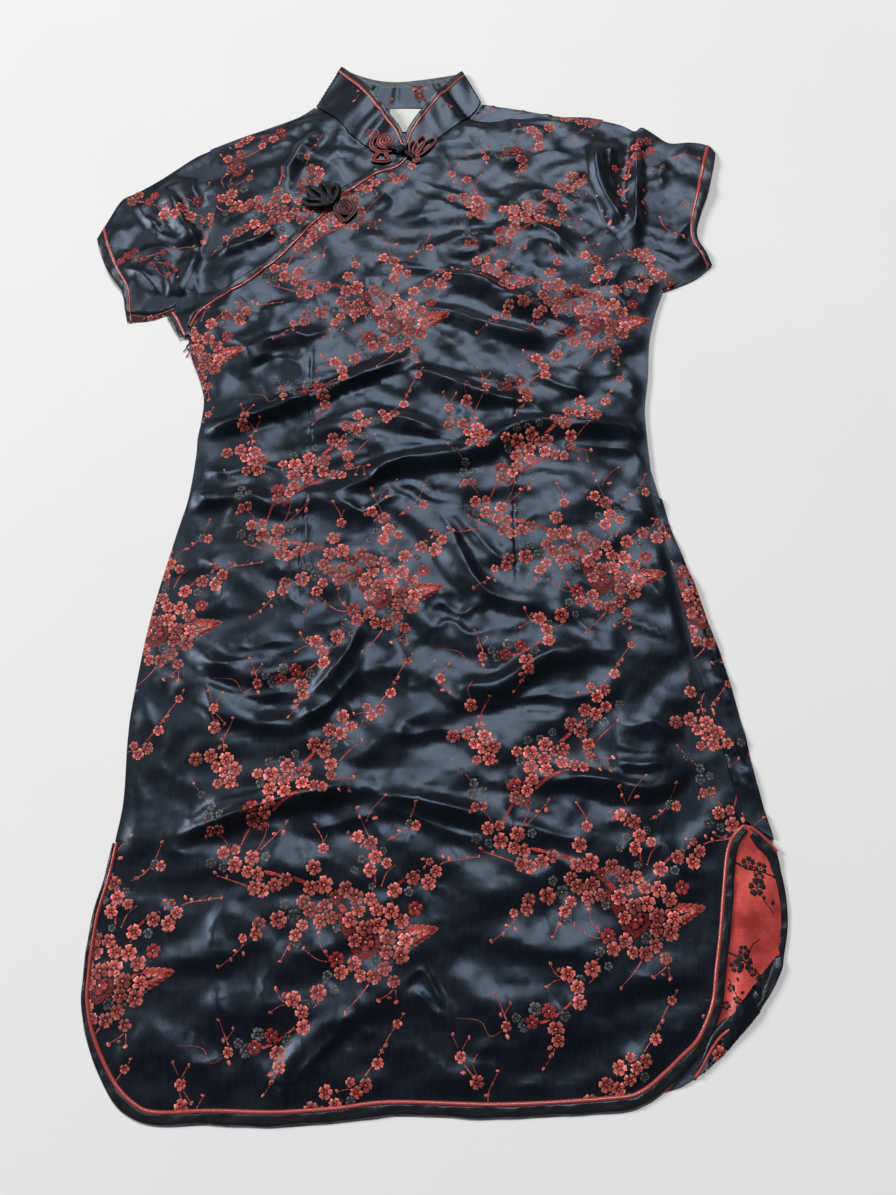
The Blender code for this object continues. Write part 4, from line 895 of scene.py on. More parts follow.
def leaf():
    """The long leaf: two wings of barbs that run forward from its open rib to the tip at 0, 0."""
    def rib(at):
        return np.array((at - LEAF_LONG, LEAF_ARCH * (LEAF_LONG - at)))

    parts = []
    for k in range(LEAF_BARBS):
        start = LEAF_LONG * 0.78 * k / LEAF_BARBS
        end = min(start + LEAF_LONG * 0.42, LEAF_LONG)
        share = end / LEAF_LONG
        wide = LEAF_HALF * (1 - share) ** 0.7 + 0.5
        for side in (-1, 1):
            root = rib(start) + (0, side * LEAF_SLOT * (1 - start / LEAF_LONG))
            tip = rib(end) + (0, side * wide)
            along = (tip - root) / np.linalg.norm(tip - root)
            across = np.array((-along[1], along[0]))
            reach = np.linalg.norm(tip - root)
            barb = LEAF_BARB * (1.1 - 0.5 * start / LEAF_LONG)
            shape = ((0, 0.5), (0.35, 1.0), (0.75, 0.8), (1.0, 0.0), (0.75, -0.8), (0.35, -1.0), (0, -0.5))
            outline = [root + along * reach * far + across * barb * out for far, out in shape]
            middle = root + along * reach / 2
            tone = 0.6 + 0.7 * chance(*tip, 4)
            parts.append(Motif(outline, shade(CORAL_INNER, tone), shade(CORAL_RIM, tone), middle, reach / 2,
                               middle, barb, [middle]))
    return parts


def sprig(twigs, deep, coral, grey, buds, full=1.0):
    """Motifs placed one by one, the lowest first, with all blossoms made full times as wide."""
    parts = []
    for first, last, *points in twigs:
        parts += stem(first, last, points, STEM, STEM_RIM)
    for x, y, radius in buds:
        parts += bud(x, y, radius)
    for x, y, radius in grey:
        parts += blossom(x, y, radius * full, GREY_INNER, GREY_RIM, GREY_RIM)
    for x, y, radius in deep:
        parts += blossom(x, y, radius * full, DEEP_INNER, DEEP_RIM, CORAL_RIM)
    for x, y, radius in coral:
        parts += blossom(x, y, radius * full, CORAL_INNER, CORAL_RIM, STAMEN)
    return [part.moved(lambda points: points) for part in parts]


def make_spray():
    """Every motif of the repeat, the lowest first."""
    parts = []
    for first, last, *points in TRUNKS:
        parts += stem(first * TRUNK_THIN, last * TRUNK_THIN, points, DEEP_INNER, DEEP_RIM)
    parts += bole() + leaf()
    twigs = [(first * TWIG_THIN, last * TWIG_THIN, *points) for first, last, *points in TWIGS]
    return parts + sprig(twigs, DEEP_BLOSSOMS, CORAL_BLOSSOMS, GREY_BLOSSOMS, BUDS)


SPRAY = make_spray()
SPRAY_MIDDLES = np.array([part.outline.mean(axis=0) for part in SPRAY])
SPRAY_REACHES = np.array([
    [np.linalg.norm(part.outline - middle, axis=1).max()] for part, middle in zip(SPRAY, SPRAY_MIDDLES)
])


def sprays(places, outline, mirror=1):
    """The repeat's motifs at each place, without those outside the outline's box.

    A mirror of -1 swaps their left and right.
    """
    low = outline.min(axis=0)
    high = outline.max(axis=0)
    kept = []
    for x, y, turn in places:
        angle = math.radians(turn)
        matrix = np.array(((math.cos(angle), math.sin(angle)), (-math.sin(angle), math.cos(angle))))

        def place(points):
            return (points * (mirror, 1)) @ matrix + (x, y)

        middles = place(SPRAY_MIDDLES)
        near = np.all((middles > low - SPRAY_REACHES) & (middles < high + SPRAY_REACHES), axis=1)
        kept += [SPRAY[k].moved(place) for k in np.nonzero(near)[0]]
    return kept


# ---- how high the upper layer stands ----
RIDGES = [(half, height, curve(ridge, 8)) for half, height, ridge in FOLDS]
CREASE_PATHS = [(left, right, height, curve(ridge, 5)) for left, right, height, *ridge in CREASES]
DART_PATHS = [curve(dart, 10) for dart in DARTS]
PLACKET_LINE = curve(PLACKET_TRIM, 6)
RIM_PATHS = [
    curve(table, 10)
    for table in (LEFT_SIDE, HEM_TRIM, RIGHT_SEAM, RIGHT_WAIST, SHOULDER_RIGHT, SHOULDER_LEFT)
]
LOWEST = -0.5          # how far a trough may go below the flat cloth
SETTLE = 0.8           # how softly a trough comes to rest


def folds(x, y):
    """The main folds, as the CAD has them."""
    total = np.zeros(len(x))
    for half, height, ridge in RIDGES:
        gap, where = beside(ridge, x, y, half)
        near = np.isfinite(gap)
        shape = np.cos(np.abs(gap[near]) / half * math.pi / 2) ** 2
        total[near] += height * shape * (0.25 + 0.75 * ends_fade(where[near], 0.22))
    return total


def creases(x, y, paths, radius, gain):
    """The finer creases, each steeper on its narrow side, with a ridge of the given radius."""
    total = np.zeros(len(x))
    for left, right, height, ridge in paths:
        gap, where = beside(ridge, x, y, max(left, right))
        near = np.isfinite(gap)
        side = np.where(gap[near] > 0, left, right)
        soft = (np.sqrt(gap[near] ** 2 + radius ** 2) - radius) / side
        total[near] += gain * height * (1 - np.clip(soft, 0, 1)) ** 2 * ends_fade(where[near], 0.3)
    return total


def ripple(x, y):
    """The slight unevenness of soft cloth, in waves that drift into each other."""
    total = np.zeros(len(x))
    for across, along, turn, phase, height in RIPPLES:
        angle = math.radians(turn)
        u = (x * math.cos(angle) + y * math.sin(angle)) * 2 * math.pi / across
        v = (y * math.cos(angle) - x * math.sin(angle)) * 2 * math.pi / along
        total += height * np.sin(u + 1.4 * np.sin(0.61 * v + phase)) * np.sin(v + 1.2 * np.sin(0.53 * u))
    return total


def crinkle(x, y):
    """Narrow soft ridges that wander, fade out and come back, as in satin that has been folded."""
    total = np.zeros(len(x))
    for across, along, turn, phase, height in CRINKLES:
        angle = math.radians(turn)
        u = (x * math.cos(angle) + y * math.sin(angle)) * 2 * math.pi / along
        v = (y * math.cos(angle) - x * math.sin(angle)) * math.pi / across
        bent = v + 0.9 * np.sin(u + phase) + 0.45 * np.sin(2.3 * u + 0.8 * v + 2 * phase)
        ridge = (1 - np.sqrt(np.sin(bent) ** 2 + 0.012)) ** 2
        patch = smooth_step(0.5 + 0.9 * np.sin(0.61 * u + 1.7 * phase) * np.sin(0.37 * v + phase))
        total += height * ridge * patch
    return total


def lift(x, y):
    """Height of the upper layer above its flat position: billow, folds, creases and ripple."""
    across = np.clip(1 - ((x - BILLOW_MIDDLE) / BILLOW_HALF) ** 4, 0, 1)
    hem, rise = BILLOW_HEM
    neck, fall = BILLOW_NECK
    ends = smooth_step((y - hem) / rise) * smooth_step((neck - y) / fall)
    pressed = creases(x, y, CREASE_PATHS, CREASE_ROUND, CREASE_GAIN)
    return BILLOW * across * ends + folds(x, y) + pressed + ripple(x, y) + crinkle(x, y)


def edge_fade(x, y):
    """0 along the sides, hem and shoulders, where the two layers meet, and 1 well inside them."""
    return smooth_step(nearest(RIM_PATHS, x, y, EDGE_FADE) / EDGE_FADE)


def darts(x, y):
    """The darts' grooves, with the slight puckers beside them."""
    total = np.zeros(len(x))
    for dart in DART_PATHS:
        gap, where = beside(dart, x, y, 4 * DART_WIDTH)
        near = np.isfinite(gap)
        apart = np.abs(gap[near])
        groove = -DART_DEPTH * (1 - smooth_step(apart / DART_WIDTH))
        wave = DART_PUCKER * np.sin(where[near] * DART_PUCKERS)
        pucker = wave * (1 - smooth_step(apart / (4 * DART_WIDTH)))
        total[near] += (groove + pucker) * ends_fade(where[near], 0.12)
    return total


def over(x, y):
    """The upper layer's top, where nothing lies between it and the back."""
    height = lift(x, y) * edge_fade(x, y) + darts(x, y) - LOWEST
    soft = (height + np.sqrt(height ** 2 + SETTLE ** 2)) / 2
    return LAYER + CLOTH + LOWEST + soft


def placket_step(x, y):
    """How far the front panel stands above the yoke's level, near the placket."""
    gap = nearest([PLACKET_LINE], x, y, OVERLAP + OVERLAP_CLEAR + OVERLAP_FADE)
    return (LAYER + GAP) * (1 - smooth_step((gap - OVERLAP - OVERLAP_CLEAR) / OVERLAP_FADE))


def front_top(x, y):
    return over(x, y) + placket_step(x, y)


# ---- meshes of cloth ----
def inside(outline, x, y):
    """Which points lie inside a closed outline."""
    hit = np.zeros(len(x), bool)
    for (x1, y1), (x2, y2) in zip(outline, np.roll(outline, -1, axis=0)):
        if y1 == y2:
            continue
        at = (x2 - x1) * (y - y1) / (y2 - y1) + x1
        hit ^= ((y1 > y) != (y2 > y)) & (x < at)
    return hit


def thinned(points, apart):
    """The points in order, without any that lies closer than apart to the one kept before it."""
    kept = [points[0]]
    for point in points[1:]:
        if np.hypot(*(point[:2] - kept[-1][:2])) > apart:
            kept.append(point)
    if np.hypot(*(kept[0][:2] - kept[-1][:2])) < apart:
        kept.pop()
    return np.array(kept)


def clear_of(points, taken, apart):
    """Those points that have none of the taken ones within about apart of them."""
    cells = {(int(a), int(b)) for a, b in np.floor(np.asarray(taken) / apart)}
    kept = []
    for point in points:
        a, b = math.floor(point[0] / apart), math.floor(point[1] / apart)
        if (a, b) not in cells:
            kept.append(point)
    return np.array(kept).reshape(-1, 2)


class Lay:
    """A triangulated stretch of plan: its points, triangles, their motifs and its border."""

    def __init__(self, outline, step, motifs=(), marks=None, merge=0.01):
        low = outline.min(axis=0)
        high = outline.max(axis=0)
        rows = np.arange(low[1], high[1], step * math.sqrt(0.75))
        columns = np.arange(low[0], high[0], step)
        grid = np.array([(x + (k % 2) * step / 2, y) for k, y in enumerate(rows) for x in columns])
        own = [part.outline for part in motifs] + [np.array(part.extra) for part in motifs if part.extra]
        own = np.vstack(own) if own else np.zeros((0, 2))
        if marks is not None and len(marks):
            marks = marks[inside(outline, marks[:, 0], marks[:, 1])]
            marks = clear_of(marks, own, step * 0.3) if len(own) else marks
            grid = clear_of(grid, marks, step * 0.7)
            grid = np.vstack([marks, grid])
        if len(own):
            grid = clear_of(grid, own, step * 0.55)
        gap, _ = beside(closed(outline), grid[:, 0], grid[:, 1], step * 0.5)
        grid = grid[inside(outline, grid[:, 0], grid[:, 1]) & ~np.isfinite(gap)]
        points = [outline]
        faces = [list(range(len(outline)))]
        count = len(outline)
        for part in motifs:
            faces.append(list(range(count, count + len(part.outline))))
            points.append(part.outline)
            count += len(part.outline)
        points += [np.array(part.extra) for part in motifs if part.extra]
        points = np.vstack(points + [grid])
        made = delaunay_2d_cdt([Vector(p) for p in points], [], faces, 0, merge)
        keep = [k for k, owners in enumerate(made[5]) if 0 in owners]
        used, flat = np.unique([made[2][k] for k in keep], return_inverse=True)
        self.points = np.array([tuple(v) for v in made[0]])[used]
        self.triangles = flat.reshape(-1, 3)
        boxes = [(part.outline.min(axis=0) - 1, part.outline.max(axis=0) + 1) for part in motifs]
        centres = self.points[self.triangles].mean(axis=1)
        self.owner = np.array([self.topmost(made[5][k], spot, boxes) for k, spot in zip(keep, centres)])
        self.motifs = motifs
        self.border = self.find_border()

    @staticmethod
    def topmost(faces, spot, boxes):
        """The last motif among a triangle's source faces whose box holds it, or -1 for bare cloth."""
        for k in sorted(faces, reverse=True):
            if k and np.all(spot > boxes[k - 1][0]) and np.all(spot < boxes[k - 1][1]):
                return k - 1
        return -1

    def find_border(self):
        """The indices of the points round the border, in order."""
        edges = {}
        for a, b, c in self.triangles:
            for pair in ((a, b), (b, c), (c, a)):
                edges[pair] = True
        after = {int(a): int(b) for a, b in edges if (b, a) not in edges}
        start = next(iter(after))
        loop = [start]
        while after[loop[-1]] != start:
            loop.append(after[loop[-1]])
        return np.array(loop)


SLANT = 0.55           # how far a woven patch's normals lean out at its rim
PROUD = 0.16           # how far the threads of a patch stand above the ground


class Build:
    """Collects a mesh's vertices, faces, materials, thread colours and normals."""

    def __init__(self):
        self.vertices = []
        self.count = 0
        self.faces = []
        self.slots = []
        self.threads = []
        self.normals = []

    def add_points(self, points):
        self.vertices.append(np.asarray(points, float))
        self.count += len(points)
        return self.count - len(points)

    def add_faces(self, faces, slot, threads, corner_normals):
        self.faces += [tuple(face) for face in np.asarray(faces).tolist()]
        self.slots += list(slot) if np.ndim(slot) else [slot] * len(faces)
        self.threads.append(np.asarray(threads, float).reshape(-1, 3))
        self.normals.append(np.asarray(corner_normals, float).reshape(-1, 3))

    def lay(self, lay, place, up, ground, floss):
        """Puts a triangulated stretch where place takes it, facing up or down."""
        x, y = lay.points.T
        spot = place(x, y)
        nudge = 0.5
        east = place(x + nudge, y) - place(x - nudge, y)
        north = place(x, y + nudge) - place(x, y - nudge)
        normal = np.cross(east, north)
        normal /= np.linalg.norm(normal, axis=1)[:, None]
        east /= np.linalg.norm(east, axis=1)[:, None]
        north /= np.linalg.norm(north, axis=1)[:, None]
        tri = lay.triangles
        owner = lay.owner
        corner = normal[tri].copy()
        thread = np.zeros((len(tri), 3, 3))
        if callable(ground):
            slot = ground(*lay.points[tri].mean(axis=1).T)
        else:
            slot = np.full(len(tri), ground)
        raised = np.zeros(len(x))
        if len(lay.motifs):
            hub = np.array([part.hub for part in lay.motifs])
            reach = np.array([part.reach for part in lay.motifs])
            middle = np.array([part.middle for part in lay.motifs])
            size = np.array([part.size for part in lay.motifs])
            inner = np.array([part.inner for part in lay.motifs])
            rim = np.array([part.rim for part in lay.motifs])
            woven = (owner >= 0) & (rim[owner].sum(axis=1) > 0)
            slot[woven] = floss
            which = owner[woven]
            at = lay.points[tri[woven]]
            # colour runs from the inner one at the hub to the rim one outward; on coral blossoms the paler
            # rim is partly painted highlight
            far = np.linalg.norm(at - hub[which][:, None], axis=2) / reach[which][:, None]
            share = np.clip(far, 0, 1)[..., None] ** 2.4
            thread[woven] = inner[which][:, None] * (1 - share) + rim[which][:, None] * share
            lean = (at - middle[which][:, None]) / np.maximum(size[which], 1e-3)[:, None, None]
            lean *= (size[which] > 0)[:, None, None]
            length = np.linalg.norm(lean, axis=2)[..., None]
            lean *= SLANT * np.minimum(length, 1) / np.maximum(length, 1e-6)
            spread = lean[..., :1] * east[tri[woven]] + lean[..., 1:] * north[tri[woven]]
            tilted = corner[woven] + spread * (1 if up else -1)
            corner[woven] = tilted / np.linalg.norm(tilted, axis=2)[..., None]
            raised[np.unique(tri[woven])] = PROUD
        spot = spot + normal * raised[:, None] * (1 if up else -1)
        first = self.add_points(spot)
        if up:
            self.add_faces(tri + first, slot, thread, corner)
        else:
            self.add_faces(tri[:, ::-1] + first, slot, thread[:, ::-1], -corner[:, ::-1])
        return first

    def rim(self, upper, lower, slot):
        """Joins two borders of equal length with a wall; the border runs anticlockwise."""
        spots = np.vstack(self.vertices)
        n = len(upper)
        after = np.roll(np.arange(n), -1)
        faces = np.column_stack([lower, lower[after], upper[after], upper])
        along = spots[lower[after]] - spots[lower]
        rise = spots[upper] - spots[lower]
        out = np.cross(along, rise)
        out /= np.maximum(np.linalg.norm(out, axis=1), 1e-9)[:, None]
        self.add_faces(faces, slot, np.zeros((n * 4, 3)), np.repeat(out, 4, axis=0))

    def finish(self, name, materials):
        """Makes the object of what has been collected."""
        mesh = bpy.data.meshes.new(name)
        mesh.from_pydata((np.vstack(self.vertices) * MM).tolist(), [], self.faces)
        for material in materials:
            mesh.materials.append(material)
        mesh.polygons.foreach_set("material_index", self.slots)
        mesh.polygons.foreach_set("use_smooth", [True] * len(self.faces))
        threads = np.vstack(self.threads)
        colours = mesh.color_attributes.new("thread", "FLOAT_COLOR", "CORNER")
        colours.data.foreach_set("color", np.column_stack([threads, np.ones(len(threads))]).ravel())
        mesh.normals_split_custom_set(np.vstack(self.normals).tolist())
        obj = bpy.data.objects.new(name, mesh)
        bpy.context.scene.collection.objects.link(obj)
        return obj


def on_top(height):
    """Turns a height function of plan points into a place function."""
    return lambda x, y: np.column_stack([x, y, height(x, y)])


def shell(build, outline, top, bottom, motifs, below, marks, step=CLOTH_STEP,
          step_below=HIDDEN_STEP, slots=(0, 1, 2)):
    """A closed wall of cloth between two place functions, with motifs on its faces.

    The slots are those of the upper face, or a function of plan points, the motifs and the lower face.
    """
    upper = Lay(outline, step, motifs, marks)
    loop = upper.points[upper.border]
    lower = Lay(loop, step_below, below, None, 1e-4)
    match = match_points(loop, lower.points[lower.border])
    first = build.lay(upper, top, True, slots[0], slots[1])
    second = build.lay(lower, bottom, False, slots[2], slots[1])
    build.rim(upper.border + first, lower.border[match] + second, 0)


def match_points(loop, other):
    """For each point of a loop, which of the other loop's points is the same one."""
    if len(loop) != len(other):
        raise ValueError(f"borders of {len(loop)} and {len(other)} points don't match")
    start = int(np.argmin(np.linalg.norm(other - loop[0], axis=1)))
    return (np.arange(len(loop)) + start) % len(loop)


# ---- materials ----
class Look:
    """A procedural material: a Principled shader and the nodes that feed it."""

    def __init__(self, name, **constants):
        self.material = bpy.data.materials.new(name)
        self.material.use_nodes = True
        tree = self.material.node_tree
        self.nodes = tree.nodes
        self.links = tree.links
        self.shader = self.nodes["Principled BSDF"]
        for key, value in constants.items():
            self.shader.inputs[key.replace("_", " ")].default_value = value
        self.place = self.nodes.new("ShaderNodeTexCoord").outputs["Object"]

    def feed(self, socket, source):
        """Links a socket to another one, or sets it to a constant."""
        if isinstance(source, bpy.types.NodeSocket):
            self.links.new(source, socket)
        elif source is not None:
            socket.default_value = source

    def math(self, operation, a, b):
        node = self.nodes.new("ShaderNodeMath")
        node.operation = operation
        self.feed(node.inputs[0], a)
        self.feed(node.inputs[1], b)
        return node.outputs[0]

    def stretched(self, scale, turn):
        """The object's coordinates, turned about Z and scaled."""
        node = self.nodes.new("ShaderNodeMapping")
        self.feed(node.inputs["Vector"], self.place)
        node.inputs["Rotation"].default_value = (0, 0, math.radians(turn))
        node.inputs["Scale"].default_value = scale
        return node.outputs[0]

    def noise(self, size, detail, rough, stretch=(1, 1, 1)):
        """Noise from 0 to 1 whose lumps are about size metres across."""
        node = self.nodes.new("ShaderNodeTexNoise")
        self.feed(node.inputs["Vector"], self.stretched(stretch, 0))
        node.inputs["Scale"].default_value = 1 / size
        node.inputs["Detail"].default_value = detail
        node.inputs["Roughness"].default_value = rough
        return node.outputs["Fac"]

    def threads(self, pitch, turn, waver):
        """Parallel threads, a wave from 0 to 1, with a pitch in metres."""
        node = self.nodes.new("ShaderNodeTexWave")
        self.feed(node.inputs["Vector"], self.stretched((1, 1, 1), turn))
        node.inputs["Scale"].default_value = math.pi / 10 / pitch
        node.inputs["Distortion"].default_value = waver
        node.inputs["Detail"].default_value = 1.0
        node.inputs["Detail Scale"].default_value = 0.4
        return node.outputs["Fac"]

    def ramp(self, source, *stops):
        """Colours by position: each stop is a place and a colour."""
        node = self.nodes.new("ShaderNodeValToRGB")
        self.feed(node.inputs[0], source)
        bar = node.color_ramp
        while len(bar.elements) < len(stops):
            bar.elements.new(0.5)
        for element, (at, colour) in zip(bar.elements, stops):
            element.position = at
            element.color = (*colour, 1)
        return node.outputs[0]

    def mix(self, share, a, b, blend="MIX"):
        node = self.nodes.new("ShaderNodeMix")
        node.data_type = "RGBA"
        node.blend_type = blend
        self.feed(node.inputs[0], share)
        for socket, source in ((node.inputs[6], a), (node.inputs[7], b)):
            self.feed(socket, (*source, 1) if isinstance(source, tuple) else source)
        return node.outputs[2]

    def span(self, source, low, high):
        """A wave or noise from 0 to 1 stretched to run from low to high."""
        node = self.nodes.new("ShaderNodeMapRange")
        self.feed(node.inputs["Value"], source)
        node.inputs["To Min"].default_value = low
        node.inputs["To Max"].default_value = high
        return node.outputs[0]

    def bump(self, height, depth, strength, under=None):
        """A bump whose depth is in metres, on top of another one."""
        node = self.nodes.new("ShaderNodeBump")
        self.feed(node.inputs["Height"], height)
        node.inputs["Distance"].default_value = depth
        node.inputs["Strength"].default_value = strength
        self.feed(node.inputs["Normal"], under)
        return node.outputs[0]

    def set(self, **sources):
        """Feeds the shader's inputs, named with _ for a space, and gives the material."""
        for key, source in sources.items():
            self.feed(self.shader.inputs[key.replace("_", " ")], source)
        return self.material


SATIN_DARK = (0.0025, 0.0030, 0.0050)
SATIN_PALE = (0.0090, 0.0110, 0.0170)
SATIN_SHINE = (0.57, 0.74, 1.0, 1.0)


def satin_ground():
    """The brocade's ground: black-navy warp satin with fine floats and a cold shine."""
    look = Look("brocade_satin", Specular_Tint=SATIN_SHINE, IOR=1.55, Sheen_Weight=0.0)
    warp = look.threads(0.00046, 90, 0.6)
    weft = look.threads(0.00072, 0, 1.2)
    grain = look.math("MULTIPLY", warp, look.span(weft, 0.55, 1.0))
    slubs = look.noise(0.0021, 2.0, 0.6, (1.0, 0.16, 1.0))
    cloudy = look.noise(0.045, 4.0, 0.6)
    colour = look.ramp(look.math("MULTIPLY", slubs, look.span(grain, 0.6, 1.15)),
                       (0.15, SATIN_DARK), (0.85, SATIN_PALE))
    rough = look.math("ADD", look.span(cloudy, 0.27, 0.40), look.span(slubs, -0.03, 0.05))
    weave = look.bump(grain, 0.00006, 0.5)
    weave = look.bump(look.noise(0.011, 3.0, 0.55), 0.0006, 0.35, weave)
    return look.set(Base_Color=colour, Roughness=rough, Normal=weave)


def floss():
    """The woven-in motifs: floats of lustrous floss coloured by the mesh's own threads, with painted pale
    glints.
    """
    look = Look("brocade_floss", Specular_Tint=(1.0, 0.70, 0.68, 1.0), IOR=1.38, Sheen_Weight=0.08,
                Sheen_Roughness=0.4)
    thread = look.nodes.new("ShaderNodeVertexColor")
    thread.layer_name = "thread"
    floats = look.threads(0.00062, 24, 1.4)
    crossing = look.threads(0.00115, 112, 0.8)
    strands = look.math("MULTIPLY", floats, look.span(crossing, 0.5, 1.0))
    # fine speckle for lumps and roughness; its pale end also paints glints of highlight into the floss's
    # colour, its dark end darker specks
    speckle_and_painted_glints = look.noise(0.0017, 3.0, 0.7)
    tone = look.math("MULTIPLY", look.span(strands, 0.82, 1.06), speckle_and_painted_glints)
    shaded = look.mix(1.0, thread.outputs["Color"],
                      look.ramp(tone, (0.32, (0.30, 0.16, 0.20)), (0.43, (0.80, 0.62, 0.62)),
                                (0.53, (1.25, 1.35, 1.30)), (0.64, (1.5, 3.0, 3.0))),
                      "MULTIPLY")
    bump = look.bump(speckle_and_painted_glints, 0.0008, 0.5, look.bump(strands, 0.00014, 0.6))
    return look.set(Base_Color=shaded, Roughness=look.span(speckle_and_painted_glints, 0.42, 0.60), Normal=bump)


def reverse():
    """The brocade's wrong side: coral floats tied down in rows, with dark patches of painted shade."""
    look = Look("brocade_reverse", IOR=1.45, Sheen_Weight=0.15, Sheen_Roughness=0.5)
    rows = look.threads(0.00085, 4, 1.6)
    ties = look.threads(0.00230, 92, 2.2)
    weave = look.math("MULTIPLY", rows, look.span(ties, 0.6, 1.0))
    patchy = look.noise(0.026, 3.0, 0.55)
    fine = look.noise(0.0012, 2.0, 0.6, (0.3, 1, 1))
    colour = look.ramp(look.math("MULTIPLY", look.span(weave, 0.8, 1.05), look.span(fine, 0.75, 1.15)),
                       (0.25, (0.26, 0.012, 0.016)), (0.65, (0.54, 0.044, 0.042)),
                       (1.0, (0.74, 0.110, 0.088)))
    # the patchy noise mixes dark red into the colour: painted shade, as on soft folds
    share = look.ramp(patchy, (0.36, (0.75, 0.75, 0.75)), (0.62, (0.0, 0.0, 0.0)))
    colour = look.mix(share, colour, (0.190, 0.012, 0.017))
    return look.set(Base_Color=colour, Roughness=look.span(patchy, 0.26, 0.40),
                    Normal=look.bump(patchy, 0.0030, 0.5, look.bump(weave, 0.00008, 0.5)))


def coral_cord():
    """Piping of coral satin, cut on the bias: fine threads at a slant and pale highlights."""
    look = Look("coral_satin", Specular_Tint=(1.0, 0.72, 0.68, 1.0), IOR=1.75, Sheen_Weight=0.1,
                Sheen_Roughness=0.35)
    bias = look.threads(0.00050, 45, 0.8)
    puckers = look.noise(0.0028, 2.0, 0.5)
    colour = look.ramp(look.math("MULTIPLY", look.span(bias, 0.85, 1.05), look.span(puckers, 0.85, 1.1)),
                       (0.3, (0.12, 0.008, 0.012)), (0.7, (0.27, 0.026, 0.028)),
                       (1.0, (0.44, 0.075, 0.068)))
    bump = look.bump(puckers, 0.0005, 0.4, look.bump(bias, 0.00005, 0.5))
    return look.set(Base_Color=colour, Roughness=look.span(puckers, 0.20, 0.32), Normal=bump)


def binding_satin():
    """The bias binding: charcoal satin, puckered along its seams."""
    look = Look("charcoal_satin", Specular_Tint=(0.75, 0.85, 1.0, 1.0), IOR=1.55, Sheen_Weight=0.05)
    bias = look.threads(0.00048, 45, 0.7)
    puckers = look.noise(0.0042, 3.0, 0.5)
    cloudy = look.noise(0.030, 3.0, 0.55)
    colour = look.ramp(look.math("MULTIPLY", look.span(bias, 0.75, 1.1), look.span(cloudy, 0.6, 1.2)),
                       (0.2, (0.0025, 0.0028, 0.0040)), (0.9, (0.0080, 0.0090, 0.0120)))
    bump = look.bump(puckers, 0.0009, 0.45, look.bump(bias, 0.00005, 0.5))
    return look.set(Base_Color=colour, Roughness=look.span(cloudy, 0.28, 0.42), Normal=bump)


def frog_cord():
    """The frogs' rolled cord of black satin, with its wrapped threads."""
    look = Look("frog_satin", Specular_Tint=(0.62, 0.68, 0.80, 1.0), IOR=1.4, Sheen_Weight=0.02)
    wrap = look.threads(0.00062, 38, 1.5)
    lumps = look.noise(0.0024, 3.0, 0.6)
    colour = look.ramp(look.math("MULTIPLY", wrap, look.span(lumps, 0.5, 1.2)),
                       (0.0, (0.0015, 0.0014, 0.0017)), (1.0, (0.0070, 0.0062, 0.0070)))
    bump = look.bump(lumps, 0.0006, 0.5, look.bump(wrap, 0.00012, 0.6))
    return look.set(Base_Color=colour, Roughness=look.span(lumps, 0.30, 0.48), Normal=bump)


def red_cord(name, turn, sheen, dark, plain, pale):
    """A fine red cord along a frog's edge, with its wrapped threads at a turn in degrees."""
    look = Look(name, IOR=1.5, Sheen_Weight=sheen, Sheen_Roughness=0.4)
    wrap = look.threads(0.00060, turn, 1.5)
    lumps = look.noise(0.0022, 3.0, 0.6)
    colour = look.ramp(look.math("MULTIPLY", look.span(wrap, 0.5, 1.0), look.span(lumps, 0.6, 1.3)),
                       (0.2, dark), (0.7, plain), (1.0, pale))
    bump = look.bump(lumps, 0.0005, 0.5, look.bump(wrap, 0.00012, 0.6))
    return look.set(Base_Color=colour, Roughness=look.span(lumps, 0.32, 0.50), Normal=bump)


def label_cloth():
    """The bare label: bright white damask with a fine rib, greyer in soft patches."""
    look = Look("label_damask", IOR=1.45, Sheen_Weight=0.1)
    rib = look.threads(0.00070, 0, 0.3)
    warp = look.threads(0.00045, 90, 0.3)
    weave = look.math("MULTIPLY", rib, look.span(warp, 0.6, 1.0))
    soft = look.noise(0.006, 3.0, 0.5)
    colour = look.ramp(look.math("MULTIPLY", look.span(weave, 0.8, 1.0), look.span(soft, 0.85, 1.1)),
                       (0.5, (0.66, 0.66, 0.65)), (0.95, (0.90, 0.90, 0.88)))
    bump = look.bump(soft, 0.0006, 0.3, look.bump(weave, 0.00008, 0.6))
    return look.set(Base_Color=colour, Roughness=look.span(soft, 0.48, 0.62), Normal=bump)


def floor_cloth():
    """The plain near-white ground, with the faintest unevenness."""
    look = Look("floor_white", IOR=1.4)
    wide = look.noise(0.35, 3.0, 0.5)
    colour = look.ramp(wide, (0.3, (0.910, 0.912, 0.915)), (0.7, (0.935, 0.937, 0.940)))
    return look.set(Base_Color=colour, Roughness=look.span(wide, 0.72, 0.82),
                    Normal=look.bump(look.noise(0.02, 4.0, 0.6), 0.0008, 0.05))


CLOTH_LOOKS = (satin_ground(), floss(), reverse())
CORAL_LOOKS = (coral_cord(),)
BINDING_LOOKS = (binding_satin(),)
FROG_LOOKS = (frog_cord(),)
LINE_LOOKS = (
    red_cord("deep_red_satin", -35, 0.15, (0.120, 0.008, 0.012), (0.360, 0.036, 0.038),
             (0.600, 0.150, 0.135)),
)
WINE_LOOKS = (
    red_cord("wine_satin", 35, 0.1, (0.040, 0.005, 0.008), (0.120, 0.013, 0.018), (0.260, 0.060, 0.060)),
)
LABEL_LOOKS = (label_cloth(),)


# ---- outlines of pieces ----
def edge(table, inward=SEAM):
    """An outline's stretch, moved inward."""
    return shifted(curve(table, RIM_STEP), inward)[:, :2]


